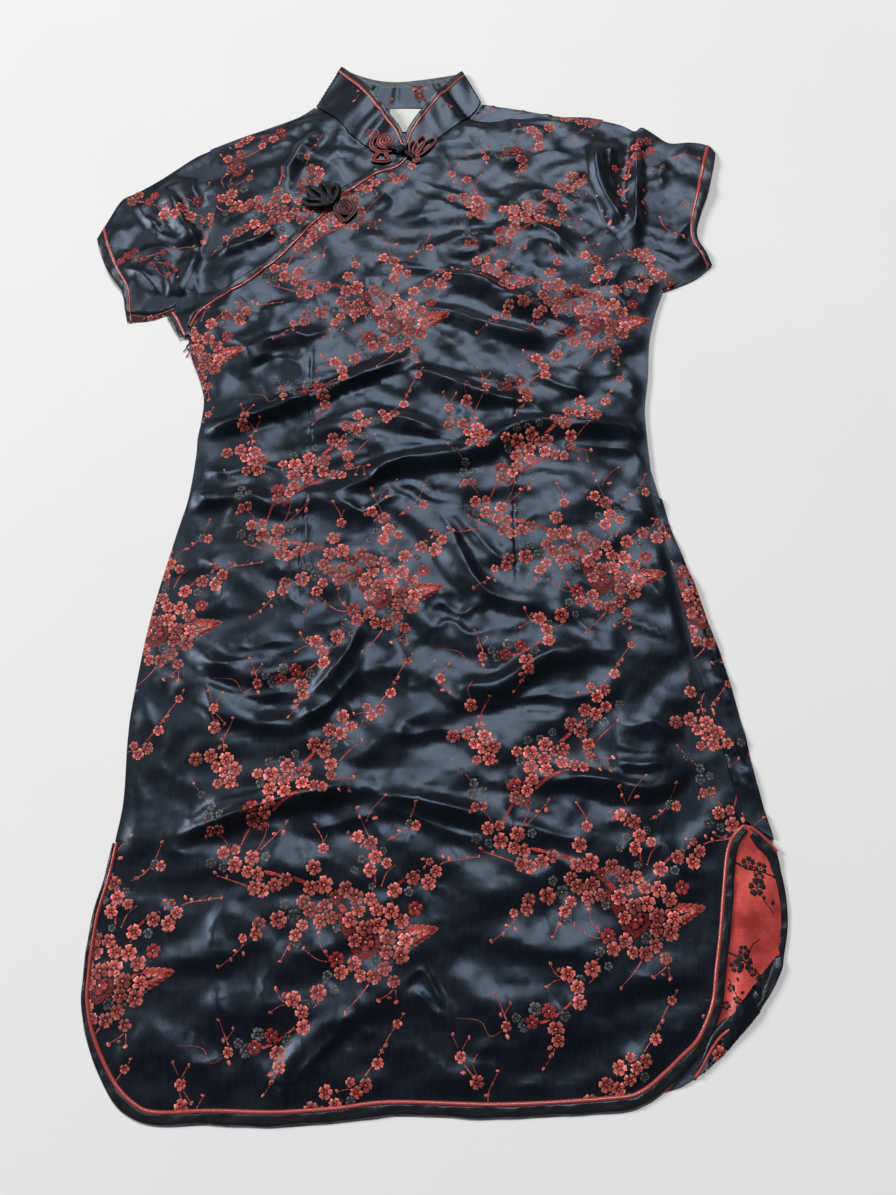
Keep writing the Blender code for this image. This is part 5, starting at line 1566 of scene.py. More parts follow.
def outline_of(*parts):
    """Stretches joined end to end into one closed outline, anticlockwise."""
    rows = thinned(np.vstack([part[:, :2] for part in parts]), RIM_STEP * 0.45)
    area = rows[:, 0] @ np.roll(rows[:, 1], -1) - rows[:, 1] @ np.roll(rows[:, 0], -1)
    return rows if area > 0 else rows[::-1]


def crease_marks(outline):
    """Points along the folds, creases and darts, and just inside the outline."""
    rows = []
    for half, _, ridge in RIDGES:
        rows += [shifted(ridge, half * side)[:, :2] for side in (-0.35, 0, 0.35)]
    for left, right, _, ridge in CREASE_PATHS:
        fine = curve(ridge[::2], 3.6)
        offsets = (-0.45 * right, -CREASE_ROUND, 0, CREASE_ROUND, 0.45 * left)
        rows += [shifted(fine, off)[:, :2] for off in offsets]
    for dart in DART_PATHS:
        fine = curve(dart, 4)
        rows += [shifted(fine, off) for off in (-DART_WIDTH, -1.5, 0, 1.5, DART_WIDTH)]
    rim = [shifted(closed(outline), off) for off in (0.7, 1.7)]
    marks = np.vstack(rim + [spread_out(np.vstack(rows), 1.5)])
    low = outline.min(axis=0)
    high = outline.max(axis=0)
    return marks[np.all((marks > low) & (marks < high), axis=1)]


def spread_out(points, apart):
    """The points without any that shares a small cell with one kept before it."""
    cells = np.floor(points / apart).astype(int)
    _, first = np.unique(cells, axis=0, return_index=True)
    return points[np.sort(first)]


def rounded(height, outline, radius=1.7, drop=0.8):
    """The height function, rolled off near the outline as a sewn or folded edge is."""
    rim = [closed(outline)]

    def rolled(x, y):
        return height(x, y) - drop * rolled_off(nearest(rim, x, y, radius), radius)

    return rolled


UNDER_REACH = 5.0      # how far round a point the lower face looks for lower cloth
UNDER_LEAST = LAYER - 0.2  # the lowest that an upper layer's lower face goes


def under(height):
    """The cloth's lower face, which a coarse mesh keeps clear of the upper one on any slope."""
    def low(x, y):
        depth = height(x, y)
        for turn in range(0, 360, 45):
            east, north = polar(0, 0, UNDER_REACH, turn)
            depth = np.minimum(depth, height(x + east, y + north))
        return np.maximum(depth - THIN, UNDER_LEAST)

    return low


MOTIF_MARGIN = 0.5


def clear_motifs(motifs, outline):
    """The motifs that lie wholly inside an outline, clear of its edge."""
    rows = np.vstack([part.outline for part in motifs])
    starts = np.cumsum([0] + [len(part.outline) for part in motifs[:-1]])
    gap, _ = beside(closed(outline), *rows.T, MOTIF_MARGIN)
    clear = inside(outline, *rows.T) & ~np.isfinite(gap)
    keep = np.logical_and.reduceat(clear, starts)
    return [part for part, good in zip(motifs, keep) if good]


def register(obj, nodes):
    """Fixes a piece to the part's one body, in the place of the CAD's nodes."""
    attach(obj, "root")
    if nodes:
        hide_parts(*nodes)
    return obj


# ---- the back, with what comes round to the front ----
REVERSE_FLOSS = (0.010, 0.009, 0.010)


def reverse_motifs(parts):
    """Motifs as they show on the cloth's wrong side: black on coral."""
    for part in parts:
        part.inner = part.rim = REVERSE_FLOSS if sum(part.rim) > 0 else GROUND
    return [part for part in parts if sum(part.rim) > 0]


REVERSE_LEFT = 165     # where the coral inner face starts, hidden under the front
REVERSE_HEAD = ((REVERSE_LEFT, -284.5), (257.5, -284.5), (290, -318.3))
REVERSE_FOOT = ((REVERSE_LEFT, -485), (217.5, -431), (290, -356.5))


def reverse_where_seen(x, y):
    """The material slot of the back's inner face: coral where the open slit shows it."""
    head = np.interp(x, *np.transpose(REVERSE_HEAD))
    foot = np.interp(x, *np.transpose(REVERSE_FOOT))
    return np.where((x > REVERSE_LEFT) & (y < head) & (y > foot), 2, 0)


HEM_EDGE = curve([row[:2] for row in HEM_TRIM[-14:]], 6)
SLIT_EDGE = curve([row[:2] for row in BACK_SLIT_BINDING], 6)
SLIT_CALM = 16         # width along the slit's own edge in which its waves die down
SLIT_HEAD = (-292, 14)  # the y where the waves start, and the length over which they grow
HEM_REST = 10          # how far past the front's hem the inner face still lies flat
HEM_FADE = 9           # width over which the waves then grow
HEM_REACH = 60         # how far past the hem the open slit goes at most
BACK_CLEAR = 0.08      # how far the back's cloth stands off the floor
SLIT_SEAM = 5.2        # how far the back's cloth runs on under its slit's binding


def slit_waves(x, y):
    """The inner face of the back, with soft waves where the slit shows it."""
    hem_gap, _ = beside(HEM_EDGE, x, y, HEM_REACH)
    clear = np.where(np.isfinite(hem_gap), -hem_gap - HEM_REST, 0)
    calm = smooth_step(nearest([SLIT_EDGE], x, y, SLIT_CALM) / SLIT_CALM)
    head, grow = SLIT_HEAD
    open_slit = smooth_step(clear / HEM_FADE) * calm * smooth_step((head - y) / grow)
    wave = np.sin(x / 8.5 + 0.9 * np.sin(y / 19.0)) + 1.3 * np.sin(y / 13.0 + x / 17.0 + 0.8)
    return CLOTH - 0.1 + np.maximum(open_slit * (1.1 * wave + 2.0), 0)


WRAP_CREASES = [
    (left, right, height, curve(ridge, 5)) for left, right, height, *ridge in (
        (5, 6, 1.1, (222, -62), (228, -100), (238, -150), (244, -200)),
        (4, 6, 0.9, (240, -128), (247, -170), (250, -206)),
        (5, 5, 0.9, (246, -210), (256, -240), (262, -268)),
        (5, 4, 0.8, (232, -128), (238, -112), (234, -92)),
        (6, 5, 0.8, (238, -236), (250, -250), (262, -252)),
        (4, 5, 0.7, (76, 432), (104, 430), (140, 427)),
    )
]


def wrap_height(x, y):
    """The cloth turned over onto the back."""
    small_ripple = 0.45 * ripple(x * 1.3 + 40, y * 1.2)
    return LAYER + CLOTH + small_ripple + creases(x, y, WRAP_CREASES, 0, 1)


def turned_over(build, outline, fold, places):
    """A layer lying on the back, whose fold rolls down to the floor round the back's edge."""
    fold = [curve(fold, 5)]
    upper = rounded(wrap_height, outline, 1.2, 0.5)

    def top(x, y):
        return upper(x, y) - WRAP_DROP * rolled_off(nearest(fold, x, y, FOLD_ROLL), FOLD_ROLL)

    def bottom(x, y):
        reach = FOLD_RADIUS * 1.2
        return np.where(nearest(fold, x, y, reach) < reach, BACK_CLEAR, LAYER - 0.1)

    marks = np.vstack([shifted(closed(outline), off) for off in (0.4, 1.1, 2.1, 3.3)])
    shell(build, outline, on_top(top), on_top(bottom), sprays(places, outline), (), marks, step_below=6)


def make_back():
    outline = outline_of(
        edge(LEFT_SIDE, 0.6), edge(BACK_HEM), edge(CORNER_FOLD, FOLD_RADIUS + 0.1),
        edge(BACK_SLIT, -SLIT_SEAM), edge(RIGHT_FOLD, FOLD_RADIUS + 0.1), edge(RIGHT_WAIST),
        edge(ARMHOLE_RIGHT), edge(SHOULDER_RIGHT, FOLD_RADIUS + 0.1), edge(BACK_NECK),
        edge(SHOULDER_LEFT), edge(ARMHOLE_LEFT), edge(BACK_UNDERARM),
    )
    build = Build()
    reverse = reverse_motifs(sprig(**SLIT_SPRIG))
    below = clear_motifs(sprays(BACK_SPRAYS, outline, -1), outline)
    flat = on_top(lambda x, y: np.full(len(x), BACK_CLEAR))
    lines = [curve(line, 2) for line in (REVERSE_HEAD, REVERSE_FOOT)]
    marks = np.vstack([shifted(line, off) for line in lines for off in (-0.2, 0.2)])
    shell(build, outline, on_top(slit_waves), flat, reverse, below, marks,
          step=6, step_below=9, slots=(reverse_where_seen, 1, 0))
    side = outline_of(edge(RIGHT_FOLD, 0), edge(RIGHT_SEAM[:-1], -SEAM)[::-1])
    turned_over(build, side, RIGHT_FOLD, WRAP_SPRAYS)
    shoulder = outline_of(edge(SHOULDER_RIGHT[3:], 0), edge(SHOULDER_SEAM[::-1]))
    turned_over(build, shoulder, SHOULDER_RIGHT[3:], FRONT_SPRAYS)
    corner = outline_of(edge(CORNER_FOLD[1:6], 0), edge(CORNER_TRIM[2:-2], PIPING / 2 + 0.1))
    turned_over(build, corner, CORNER_FOLD[1:6], CORNER_SPRAYS)
    register(build.finish("dress_back", CLOTH_LOOKS), ("back_panel",))


# ---- the front and the yoke under it ----
BY_PIPING = PIPING / 2 + 0.05


def upper_panel(name, node, outline, height, motifs):
    """A panel of the upper layer, as one closed wall."""
    build = Build()
    top = rounded(height, outline)
    shell(build, outline, on_top(top), on_top(under(top)), motifs, (), crease_marks(outline))
    register(build.finish(name, CLOTH_LOOKS), (node,))


def make_front():
    outline = outline_of(
        edge(PLACKET_TRIM, BY_PIPING), edge(LEFT_SIDE, 0), edge(HEM_TRIM, BY_PIPING),
        edge(RIGHT_SEAM), edge(RIGHT_WAIST), edge(ARMHOLE_RIGHT), edge(SHOULDER_RIGHT[:2]),
        edge(SHOULDER_SEAM), edge(NECK_RIGHT, 0.1),
    )
    upper_panel("dress_front", "front_panel", outline, front_top, sprays(FRONT_SPRAYS, outline))


def make_yoke():
    outline = outline_of(
        edge(NECK_LEFT, 0.1), edge(SHOULDER_LEFT, 0), edge(ARMHOLE_LEFT),
        edge(UNDERARM_TRIM[::-1], BY_PIPING), edge(PLACKET_TRIM, OVERLAP)[::-1],
    )
    upper_panel("dress_yoke", "yoke", outline, over, sprig(**YOKE_SPRIG))


# ---- sleeves ----
class Sleeve:
    """The plan of a sleeve: u runs from the shoulder fold to the underarm fold, v to the cuff."""

    def __init__(self, top, cuff, under_fold, armhole):
        self.top = self.even(top)
        self.cuff = self.even(cuff)
        self.under = self.even(under_fold)
        self.armhole = self.even(armhole)

    @staticmethod
    def even(table):
        """A curve with the place along it of each of its points, from 0 to 1."""
        path = curve(table, 3)
        run = run_along(path)
        return run / run[-1], path

    @staticmethod
    def on(line, t):
        """Points of such a curve, at places from 0 to 1."""
        run, path = line
        return np.column_stack([np.interp(t, run, path[:, 0]), np.interp(t, run, path[:, 1])])

    def plan(self, u, v):
        """The Coons patch through the four curves, at arrays of u and v."""
        u = np.atleast_1d(np.asarray(u, float))
        v = np.atleast_1d(np.asarray(v, float))
        u, v = np.broadcast_arrays(u, v)
        p, q = u[:, None], v[:, None]
        ends = (1 - q) * self.on(self.armhole, u) + q * self.on(self.cuff, u)
        sides = (1 - p) * self.on(self.top, v) + p * self.on(self.under, v)
        corners = (1 - p) * ((1 - q) * self.on(self.top, [0]) + q * self.on(self.top, [1]))
        corners = corners + p * ((1 - q) * self.on(self.under, [0]) + q * self.on(self.under, [1]))
        return ends + sides - corners

    def outline(self, first, last, inset=0.0):
        """A closed outline between two v, with its two folds moved in by a share of the width."""
        u = np.linspace(inset, 1 - inset, 56)
        v = np.linspace(first, last, 36)
        return outline_of(
            self.plan(u, first), self.plan(1 - inset, v), self.plan(u[::-1], last),
            self.plan(inset, v[::-1]),
        )


LEFT_TUCK = curve((
    (-292, 190), (-280, 187.5), (-270, 186), (-261, 186.5), (-252, 189.5), (-244, 193.5), (-238, 198),
), 5)
TUCK_DROP = 1.2        # how far the lower layer lies below the tuck
TUCK_REACH = 16
TUCK_INNER = (0.006, 0.003, 0.004)
TUCK_RIM = (0.016, 0.003, 0.004)


def tuck_motifs():
    """The dark strip of the left sleeve's lower layer, below its tuck, with a red line along it."""
    ends = np.array(((-232, 176), (-262, 170), (-296, 174)))
    hub = LEFT_TUCK.mean(axis=0)
    strip = Motif(np.vstack([LEFT_TUCK, ends]), TUCK_INNER, TUCK_RIM, hub, 30, hub, 0)
    line = (1.0, 0.7, *[(x, y - 1.2) for x, y in LEFT_TUCK])
    buds = ((-250, 186, 1.5), (-268, 182, 1.4))
    red = sprig((line,), ((-258, 182, 3.2),), ((-262, 183, 2.6),), (), buds)
    return [strip.moved(lambda points: points), *red]


def make_sleeve(side, sleeve, motifs):
    """The sleeve's two layers, then a ring of piping and a ring of binding at its cuff."""
    length = np.linalg.norm(sleeve.plan(0.5, 1) - sleeve.plan(0.5, 0))
    binding = 1 - CUFF_BINDING / length
    piping = binding - PIPING / length
    seam = SEAM / length
    outline = sleeve.outline(seam, piping - seam)
    two_folds = [sleeve.top[1], sleeve.under[1]]

    def level(x, y):
        near_fold = nearest(two_folds, x, y, SLEEVE_FADE)
        height = np.maximum(lift(x, y) * smooth_step(near_fold / SLEEVE_FADE), LOWEST)
        if side == "left":
            gap, _ = beside(LEFT_TUCK, x, y, TUCK_REACH)
            below_tuck = np.where(np.isfinite(gap), gap, TUCK_REACH)
            height = height - TUCK_DROP * smooth_step((1.2 - below_tuck) / 2.4)
        return LAYER + CLOTH + height

    def top(x, y):
        return rolled(x, y) - SLEEVE_DROP * rolled_off(nearest(two_folds, x, y, FOLD_ROLL), FOLD_ROLL)

    def bottom(x, y):
        at_fold = nearest(two_folds, x, y, 2.0) < 2.0
        return np.where(at_fold, BACK_CLEAR, np.maximum(level(x, y) - THIN, UNDER_LEAST))

    rolled = rounded(level, outline, 1.4, 0.5)
    build = Build()
    rim = closed(outline)
    marks = np.vstack([crease_marks(outline), shifted(rim, 0.4), shifted(rim, 2.8)])
    shell(build, outline, on_top(top), on_top(bottom), motifs, (), marks, step_below=8)
    inner = sleeve.outline(seam, piping - seam, 0.022)
    low_place = on_top(lambda x, y: np.full(len(x), CLOTH - 0.1))
    floor_place = on_top(lambda x, y: np.full(len(x), BACK_CLEAR))
    below = clear_motifs(motifs, inner)
    shell(build, inner, low_place, floor_place, (), below, None, step=9, slots=(2, 1, 0))
    register(build.finish(f"dress_sleeve_{side}", CLOTH_LOOKS), (f"sleeve_{side}",))
    cuff_ring(f"cuff_{side}_piping", sleeve, level, piping, binding - seam, PIPING_RISE + 0.25,
              CORAL_LOOKS, f"cuff_piping_{side}", "coral_piping")
    cuff_ring(f"cuff_{side}_binding", sleeve, level, binding, 1.0, BINDING_RISE + 0.1,
              BINDING_LOOKS, f"cuff_binding_{side}", "satin_binding")


CUFF_MIDDLE = 1.65     # height at which a cuff's two layers meet
CUFF_SINK = 0.35       # how far a ring is sunk into the sleeve's cloth
CUFF_WALL = 1.1        # how far its inside lies below the sleeve's top
CUFF_NARROW = 2.4      # how much narrower its inside is
CUFF_OPEN = 0.3        # how far its inside goes down from the middle
CUFF_CLEAR = 0.1       # how far its lower face stands off the floor
CUFF_STATIONS = 7      # sections across its width
CUFF_AROUND = 62       # points across the upper half of a section


def cuff_ring(name, sleeve, level, first, last, proud, looks, node, slot):
    """A flattened ring round the cuff between two v, rounded across its width."""
    stations = np.linspace(first, last, CUFF_STATIONS)
    bulge = np.sqrt(np.clip(1 - np.linspace(-0.98, 0.98, CUFF_STATIONS) ** 2, 0, 1))
    across = (1 - np.cos(np.linspace(0, math.pi, CUFF_AROUND))) / 2
    sides = np.sqrt(np.clip(1 - (2 * across - 1) ** 12, 0, 1))
    lower_sides = sides[::-1][1:-1]
    rings = []
    for v, swell in zip(stations, bulge):
        upper = sleeve.plan(across, v)
        run = run_along(upper)
        pucker = 0.16 * np.sin(run / 2.9 + 2.0 * np.sin(run / 11)) * swell * (slot == "satin_binding")
        z = level(*upper.T) + proud * swell + pucker - CUFF_SINK
        z = CUFF_MIDDLE + (z - CUFF_MIDDLE) * sides
        lower = upper[::-1][1:-1]
        floor = CUFF_MIDDLE - (CUFF_MIDDLE - CUFF_CLEAR) * lower_sides
        rings.append(np.vstack([np.column_stack([upper, z]), np.column_stack([lower, floor])]))
    inner = []
    for v in (last, first):
        share = 1 - CUFF_NARROW / run_along(sleeve.plan(across, v))[-1]
        upper = sleeve.plan(0.5 + (across - 0.5) * share, v)
        z = np.maximum(level(*upper.T) - CUFF_WALL, UNDER_LEAST)
        z = CUFF_MIDDLE + (z - CUFF_MIDDLE) * sides
        floor = CUFF_MIDDLE - CUFF_OPEN + CUFF_OPEN * (1 - lower_sides)
        inner.append(np.vstack([np.column_stack([upper, z]), np.column_stack([upper[::-1][1:-1], floor])]))
    register(loft(name, rings + inner, looks, False), (node,))


def loft(name, rings, looks, capped=True, inner_from=None):
    """A smooth solid through rings of equally many points, capped or joined end to start.

    Faces from the column inner_from on take the second of the looks.
    """
    rings = np.asarray(rings, float)
    count, around = rings.shape[:2]
    faces = []
    for k in range(count - 1 if capped else count):
        here = k * around
        there = ((k + 1) % count) * around
        for j in range(around):
            after = (j + 1) % around
            faces.append((here + j, here + after, there + after, there + j))
    if capped:
        faces.append(tuple(reversed(range(around))))
        faces.append(tuple((count - 1) * around + j for j in range(around)))
    mesh = bpy.data.meshes.new(name)
    mesh.from_pydata((rings.reshape(-1, 3) * MM).tolist(), [], faces)
    for look in looks:
        mesh.materials.append(look)
    if inner_from is not None:
        columns = np.arange(len(mesh.polygons)) % around
        mesh.polygons.foreach_set("material_index", (columns >= inner_from).astype(int).tolist())
    turn_out(mesh)
    mesh.shade_smooth()
    mesh.set_sharp_from_angle(angle=math.radians(62))
    obj = bpy.data.objects.new(name, mesh)
    bpy.context.scene.collection.objects.link(obj)
    return obj


def turn_out(mesh):
    """Turns all faces outward, by the sign of the mesh's volume."""
    mesh.calc_loop_triangles()
    points = np.zeros(len(mesh.vertices) * 3)
    mesh.vertices.foreach_get("co", points)
    points = points.reshape(-1, 3)
    corners = np.zeros(len(mesh.loop_triangles) * 3, int)
    mesh.loop_triangles.foreach_get("vertices", corners)
    a, b, c = points[corners.reshape(-1, 3)].transpose(1, 0, 2)
    if np.einsum("ij,ij->i", a, np.cross(b, c)).sum() < 0:
        mesh.flip_normals()


# ---- trims ----
def tube(name, path, heights, radius, looks, node, sides=10, wobble=0.05):
    """A round cord whose middle runs along path at the heights."""
    spots = np.column_stack([path[:, :2], heights])
    along = np.gradient(spots, axis=0)
    along /= np.linalg.norm(along, axis=1)[:, None]
    side = np.cross(along, (0, 0, 1))
    side /= np.linalg.norm(side, axis=1)[:, None]
    rise = np.cross(side, along)
    rings = []
    run = run_along(path)
    for spot, across, upward, at in zip(spots, side, rise, run):
        size = radius * (1 + wobble * math.sin(at / 5.3 + 1.7 * math.sin(at / 17)))
        angles = 2 * math.pi * (np.arange(sides) + 0.5) / sides
        rings.append(spot + size * (np.cos(angles)[:, None] * across + np.sin(angles)[:, None] * upward))
    return register(loft(name, rings, looks), node)


# a binding's section, columns share of its width, share of its thickness
BINDING_SECTION = (
    (0, 0.80), (0.04, 0.92), (0.14, 0.98), (0.30, 1.0), (0.48, 0.99), (0.66, 0.95), (0.82, 0.84),
    (0.94, 0.60), (1.0, 0.2),
)
BINDING_PUCKER = 0.34


def binding(name, path, near, far, low, node):
    """A bias binding beside a path, between two distances to its left, soft and slightly puckered."""
    near = np.broadcast_to(near, len(path))
    far = np.broadcast_to(far, len(path))
    run = run_along(path)
    side = normals(path)
    side = np.column_stack([
        np.convolve(np.pad(column, 4, mode="edge"), np.ones(9) / 9, mode="valid") for column in side.T
    ])

    def column(t, wander, rise):
        off = near + (far - near) * t + wander * np.sign(far - near)
        spots = path[:, :2] + side * off[:, None]
        base = low(*spots.T) if callable(low) else low
        return np.column_stack([spots, base + rise])

    drift = (0.5 * np.sin(run / 14 + 1.1) + 0.3 * np.sin(run / 5.7)) * np.minimum(np.abs(far - near) / 6, 1)
    columns = []
    for t, up in BINDING_SECTION:
        crimp = BINDING_PUCKER * math.sin(math.pi * t) ** 0.7 * (
            np.sin(run / 2.9 + 2.3 * np.sin(run / 13)) + 0.8 * np.sin(run / 7.3 + 2.5 * t) - 0.4)
        columns.append(column(t, drift * t, (CLOTH + BINDING_RISE) * up + crimp))
    columns += [column(t, 0, 0.05) for t in (1.0, 0.5, 0.0)]
    rings = np.stack(columns, axis=1)
    return register(loft(name, rings, BINDING_LOOKS), (node,))


THREAD_RADIUS = 0.45
STRAY_THREADS = (
    ((-222.5, 160), (-224, 153), (-228, 147)), ((-223, 156), (-225.5, 151.5), (-223, 149)),
    ((-222, 158), (-222.5, 146), (-225, 141)),
)
SLIT_RUN_OUT = (
    (271, -387.5, 1.4), (266, -396.5, 1.8), (259.5, -406, 1.8), (251, -416, 1.8), (242, -425.5, 1.8),
)


def low_front(x, y):
    return front_top(x, y) - CLOTH


def low_over(x, y):
    return over(x, y) - CLOTH


def level_layer(x, _):
    return np.full(len(x), LAYER)


CORD = PIPING / 2
CORD_LIE = CLOTH + PIPING_RISE - CORD  # height of a cord's middle above its cloth's underside


def piped(name, table, step, under_cord, under_binding, slim=1.0, wide=1.0):
    """A cord of piping along a trimmed edge, and the binding outside it."""
    path = curve(table, step)
    tube(f"{name}_cord", path, under_cord(*path[:, :2].T) + CORD_LIE, CORD * slim, CORAL_LOOKS,
         (f"{name}_piping",))
    binding(f"{name}_edge", path, -CORD, -CORD - GAP - wide * path[:, 2], under_binding, f"{name}_binding")


def make_trims():
    piped("placket", PLACKET_TRIM, 2.2, low_front, low_front)
    piped("hem", HEM_TRIM, 2.4, low_front, level_layer)
    piped("underarm", UNDERARM_TRIM[::-1], 2.0, low_over, low_over)
    piped("corner", CORNER_TRIM[1:], 2.2, level_layer, level_layer, 0.8, 1.5)
    slit = curve(BACK_SLIT_PIPING, 2.0)
    tube("slit_cord", slit, level_layer(*slit.T) + CORD_LIE, CORD, CORAL_LOOKS, ("back_slit_piping",))
    for k, ends in enumerate(STRAY_THREADS):
        thread = curve(ends, 1.5)
        tube(f"stray_thread_{k}", thread, np.linspace(1.6, 0.8, len(thread)), THREAD_RADIUS,
             BINDING_LOOKS, (), 6)
    slit = curve((*BACK_SLIT_BINDING, *SLIT_RUN_OUT), 2.4)
    run = run_along(slit)
    near = np.interp(run, (0, 22, 36), (1.6, 1.6, -0.1))
    stations = (0, 9, run[-1] - 48, run[-1] - 30, run[-1])
    far = -np.interp(run, stations, (4.5, BACK_BINDING, BACK_BINDING, 6, 3))
    binding("slit_edge", slit, near, far, np.maximum(slit[:, 2], 0.05), "back_slit_binding")


# ---- collar ----
COLLAR_BEND = np.arange(12, 169, 12)  # degrees round the fold at either end of the band


class Band:
    """The collar's middle surface: u is the length along it, v the height from its foot."""

    def __init__(self):
        left = curve(COLLAR_LEFT, 3)
        back = curve(COLLAR_BACK, 4)
        right = curve(COLLAR_RIGHT, 3)
        half = CLOTH / 2
        foot, top = [], []

        def front(row):
            base = float(over(row[:1], row[1:2])[0]) - CLOTH + half + COLLAR_LIFT
            return np.array((*row[:2], base)), np.array((*row[2:4], base + row[4]))

        def bend(row, angles):
            low, high = front(row)
            along = (high - low)[:2]
            out = np.array((-along[1], along[0])) / np.linalg.norm(along)
            out *= (-1 if row[0] < 0 else 1) * np.sign(out[0])
            for angle in np.radians(angles):
                for point, rows in ((low, foot), (high, top)):
                    radius = (point[2] - half) / 2
                    spot = point[:2] + out * radius * math.sin(angle)
                    rows.append(np.array((*spot, half + radius * (1 + math.cos(angle)))))

        for row in left:
            low, high = front(row)
            foot.append(low)
            top.append(high)
        bend(left[-1], COLLAR_BEND)
        for row in back:
            foot.append(np.array((*row[:2], half)))
            top.append(np.array((*row[2:4], half)))
        bend(right[0], COLLAR_BEND[::-1])
        for row in right:
            low, high = front(row)
            foot.append(low)
            top.append(high)
        self.foot = np.array(foot)
        self.rule = np.array(top) - self.foot
        self.height = np.linalg.norm(self.rule, axis=1)
        self.rule = self.rule / self.height[:, None]
        middle = self.foot + self.rule * 10
        self.run = np.concatenate([[0], np.cumsum(np.linalg.norm(np.diff(middle, axis=0), axis=1))])
        along = np.gradient(middle, axis=0)
        out = np.cross(self.rule, along)
        out /= np.linalg.norm(out, axis=1)[:, None]
        self.out = out if out[0, 2] > 0 else -out

    def at(self, table, u):
        return np.column_stack([np.interp(u, self.run, table[:, k]) for k in range(3)])

    def middle(self, u, v):
        """Points of the middle surface."""
        return self.at(self.foot, u) + self.at(self.rule, u) * v[:, None]

    def outward(self, u):
        """The unit normals of the middle surface."""
        out = self.at(self.out, u)
        return out / np.linalg.norm(out, axis=1)[:, None]

    def tall(self, u):
        return np.interp(u, self.run, self.height)

    def place(self, off):
        """A place function at a distance off the middle surface, on the outward side."""
        def spot(u, v):
            out = self.outward(u)
            facing = smooth_step(out[:, 2] * 2 + 0.5)
            wave = 0.55 * np.sin(u / 8.5 + 0.9 * np.sin(v / 9)) + 0.35 * np.sin(u / 3.9 + v / 14)
            wave = wave * smooth_step(v / 12) * smooth_step((self.tall(u) - v) / 12)
            inner = 0.8 * np.clip(np.sin(u / 4.2 + 0.5 * np.sin(u / 19)), 0, 1) ** 2
            inner = inner * smooth_step(v / 10) * smooth_step((self.tall(u) - v) / 8)
            amount = facing * wave - (1 - facing) * inner * (off < 0)
            return self.middle(u, v) + out * (off + amount)[:, None]
        return spot

    def stretch(self, below, above):
        """Both edges, in u and v, of the part between two distances from the upper edge."""
        u = np.linspace(0, self.run[-1], 190)
        low = np.zeros(len(u)) if below is None else np.maximum(self.tall(u) - below, 0)
        high = self.tall(u) - above
        return np.column_stack([u, low]), np.column_stack([u, high])

    def ribbon(self, name, below, above, proud, looks, node, crimp=0.0):
        """A rounded ribbon along the band between two distances from its upper edge."""
        low, high = self.stretch(below, above)
        u = low[:, 0]
        out = self.outward(u)
        up = np.maximum(out[:, 2], 0)
        columns = []
        for t in np.linspace(0, 1, 7):
            v = low[:, 1] + (high[:, 1] - low[:, 1]) * t
            bulge = proud * math.sqrt(max(0, 1 - (2 * t - 1) ** 2)) * up
            bulge = bulge + crimp * np.sin(u / 2.7 + 2 * np.sin(u / 12)) * math.sin(math.pi * t)
            columns.append(self.middle(u, v) + out * (CLOTH / 2 + bulge - 0.05)[:, None])
        for t in (1.0, 0.5, 0.0):
            v = low[:, 1] + (high[:, 1] - low[:, 1]) * t
            columns.append(self.middle(u, v) - out * (CLOTH / 2 - 0.1))
        register(loft(name, np.stack(columns, axis=1), looks, inner_from=6), (node,))


def make_collar():
    band = Band()
    piping_foot = COLLAR_BINDING + PIPING
    low, high = band.stretch(None, piping_foot + 0.05)
    high[:, 1] = np.maximum(high[:, 1], low[:, 1] + 0.8)
    outline = outline_of(low, high[::-1])
    build = Build()
    motifs = clear_motifs(sprig(**COLLAR_OUTER), outline)
    below = clear_motifs(sprig(**COLLAR_INNER), outline)
    shell(build, outline, band.place(CLOTH / 2), band.place(-CLOTH / 2), motifs, below, None,
          step=2.6, step_below=2.6, slots=(0, 1, 0))
    register(build.finish("dress_collar", CLOTH_LOOKS), ("collar",))
    band.ribbon("collar_cord", piping_foot, COLLAR_BINDING, PIPING_RISE + 0.25, CORAL_LOOKS + BINDING_LOOKS,
                "collar_piping")
    band.ribbon("collar_edge", COLLAR_BINDING, 0, BINDING_RISE, BINDING_LOOKS * 2,
                "collar_binding", 0.12)


def make_label():
    """The bare woven label inside the neck, with a slight wave across it."""
    left = LABEL_CENTRE - LABEL_WIDTH / 2
    right = LABEL_CENTRE + LABEL_WIDTH / 2
    upward = np.linspace(LABEL_TOP - LABEL_HEIGHT, LABEL_TOP, 22)
    rings = []
    for x in np.linspace(left, right, 24):
        curl = 0.35 * np.sin((x - left) / 7) + 0.25 * np.cos(upward / 6)
        z = LAYER + LABEL_RISE + 0.2 * curl
        face = np.column_stack([np.full(len(z), x), upward, z])
        back_face = face[::-1] - (0, 0, LABEL_THICK)
        rings.append(np.vstack([face, back_face]))
    register(loft("neck_tab", rings, LABEL_LOOKS), ("neck_label",))


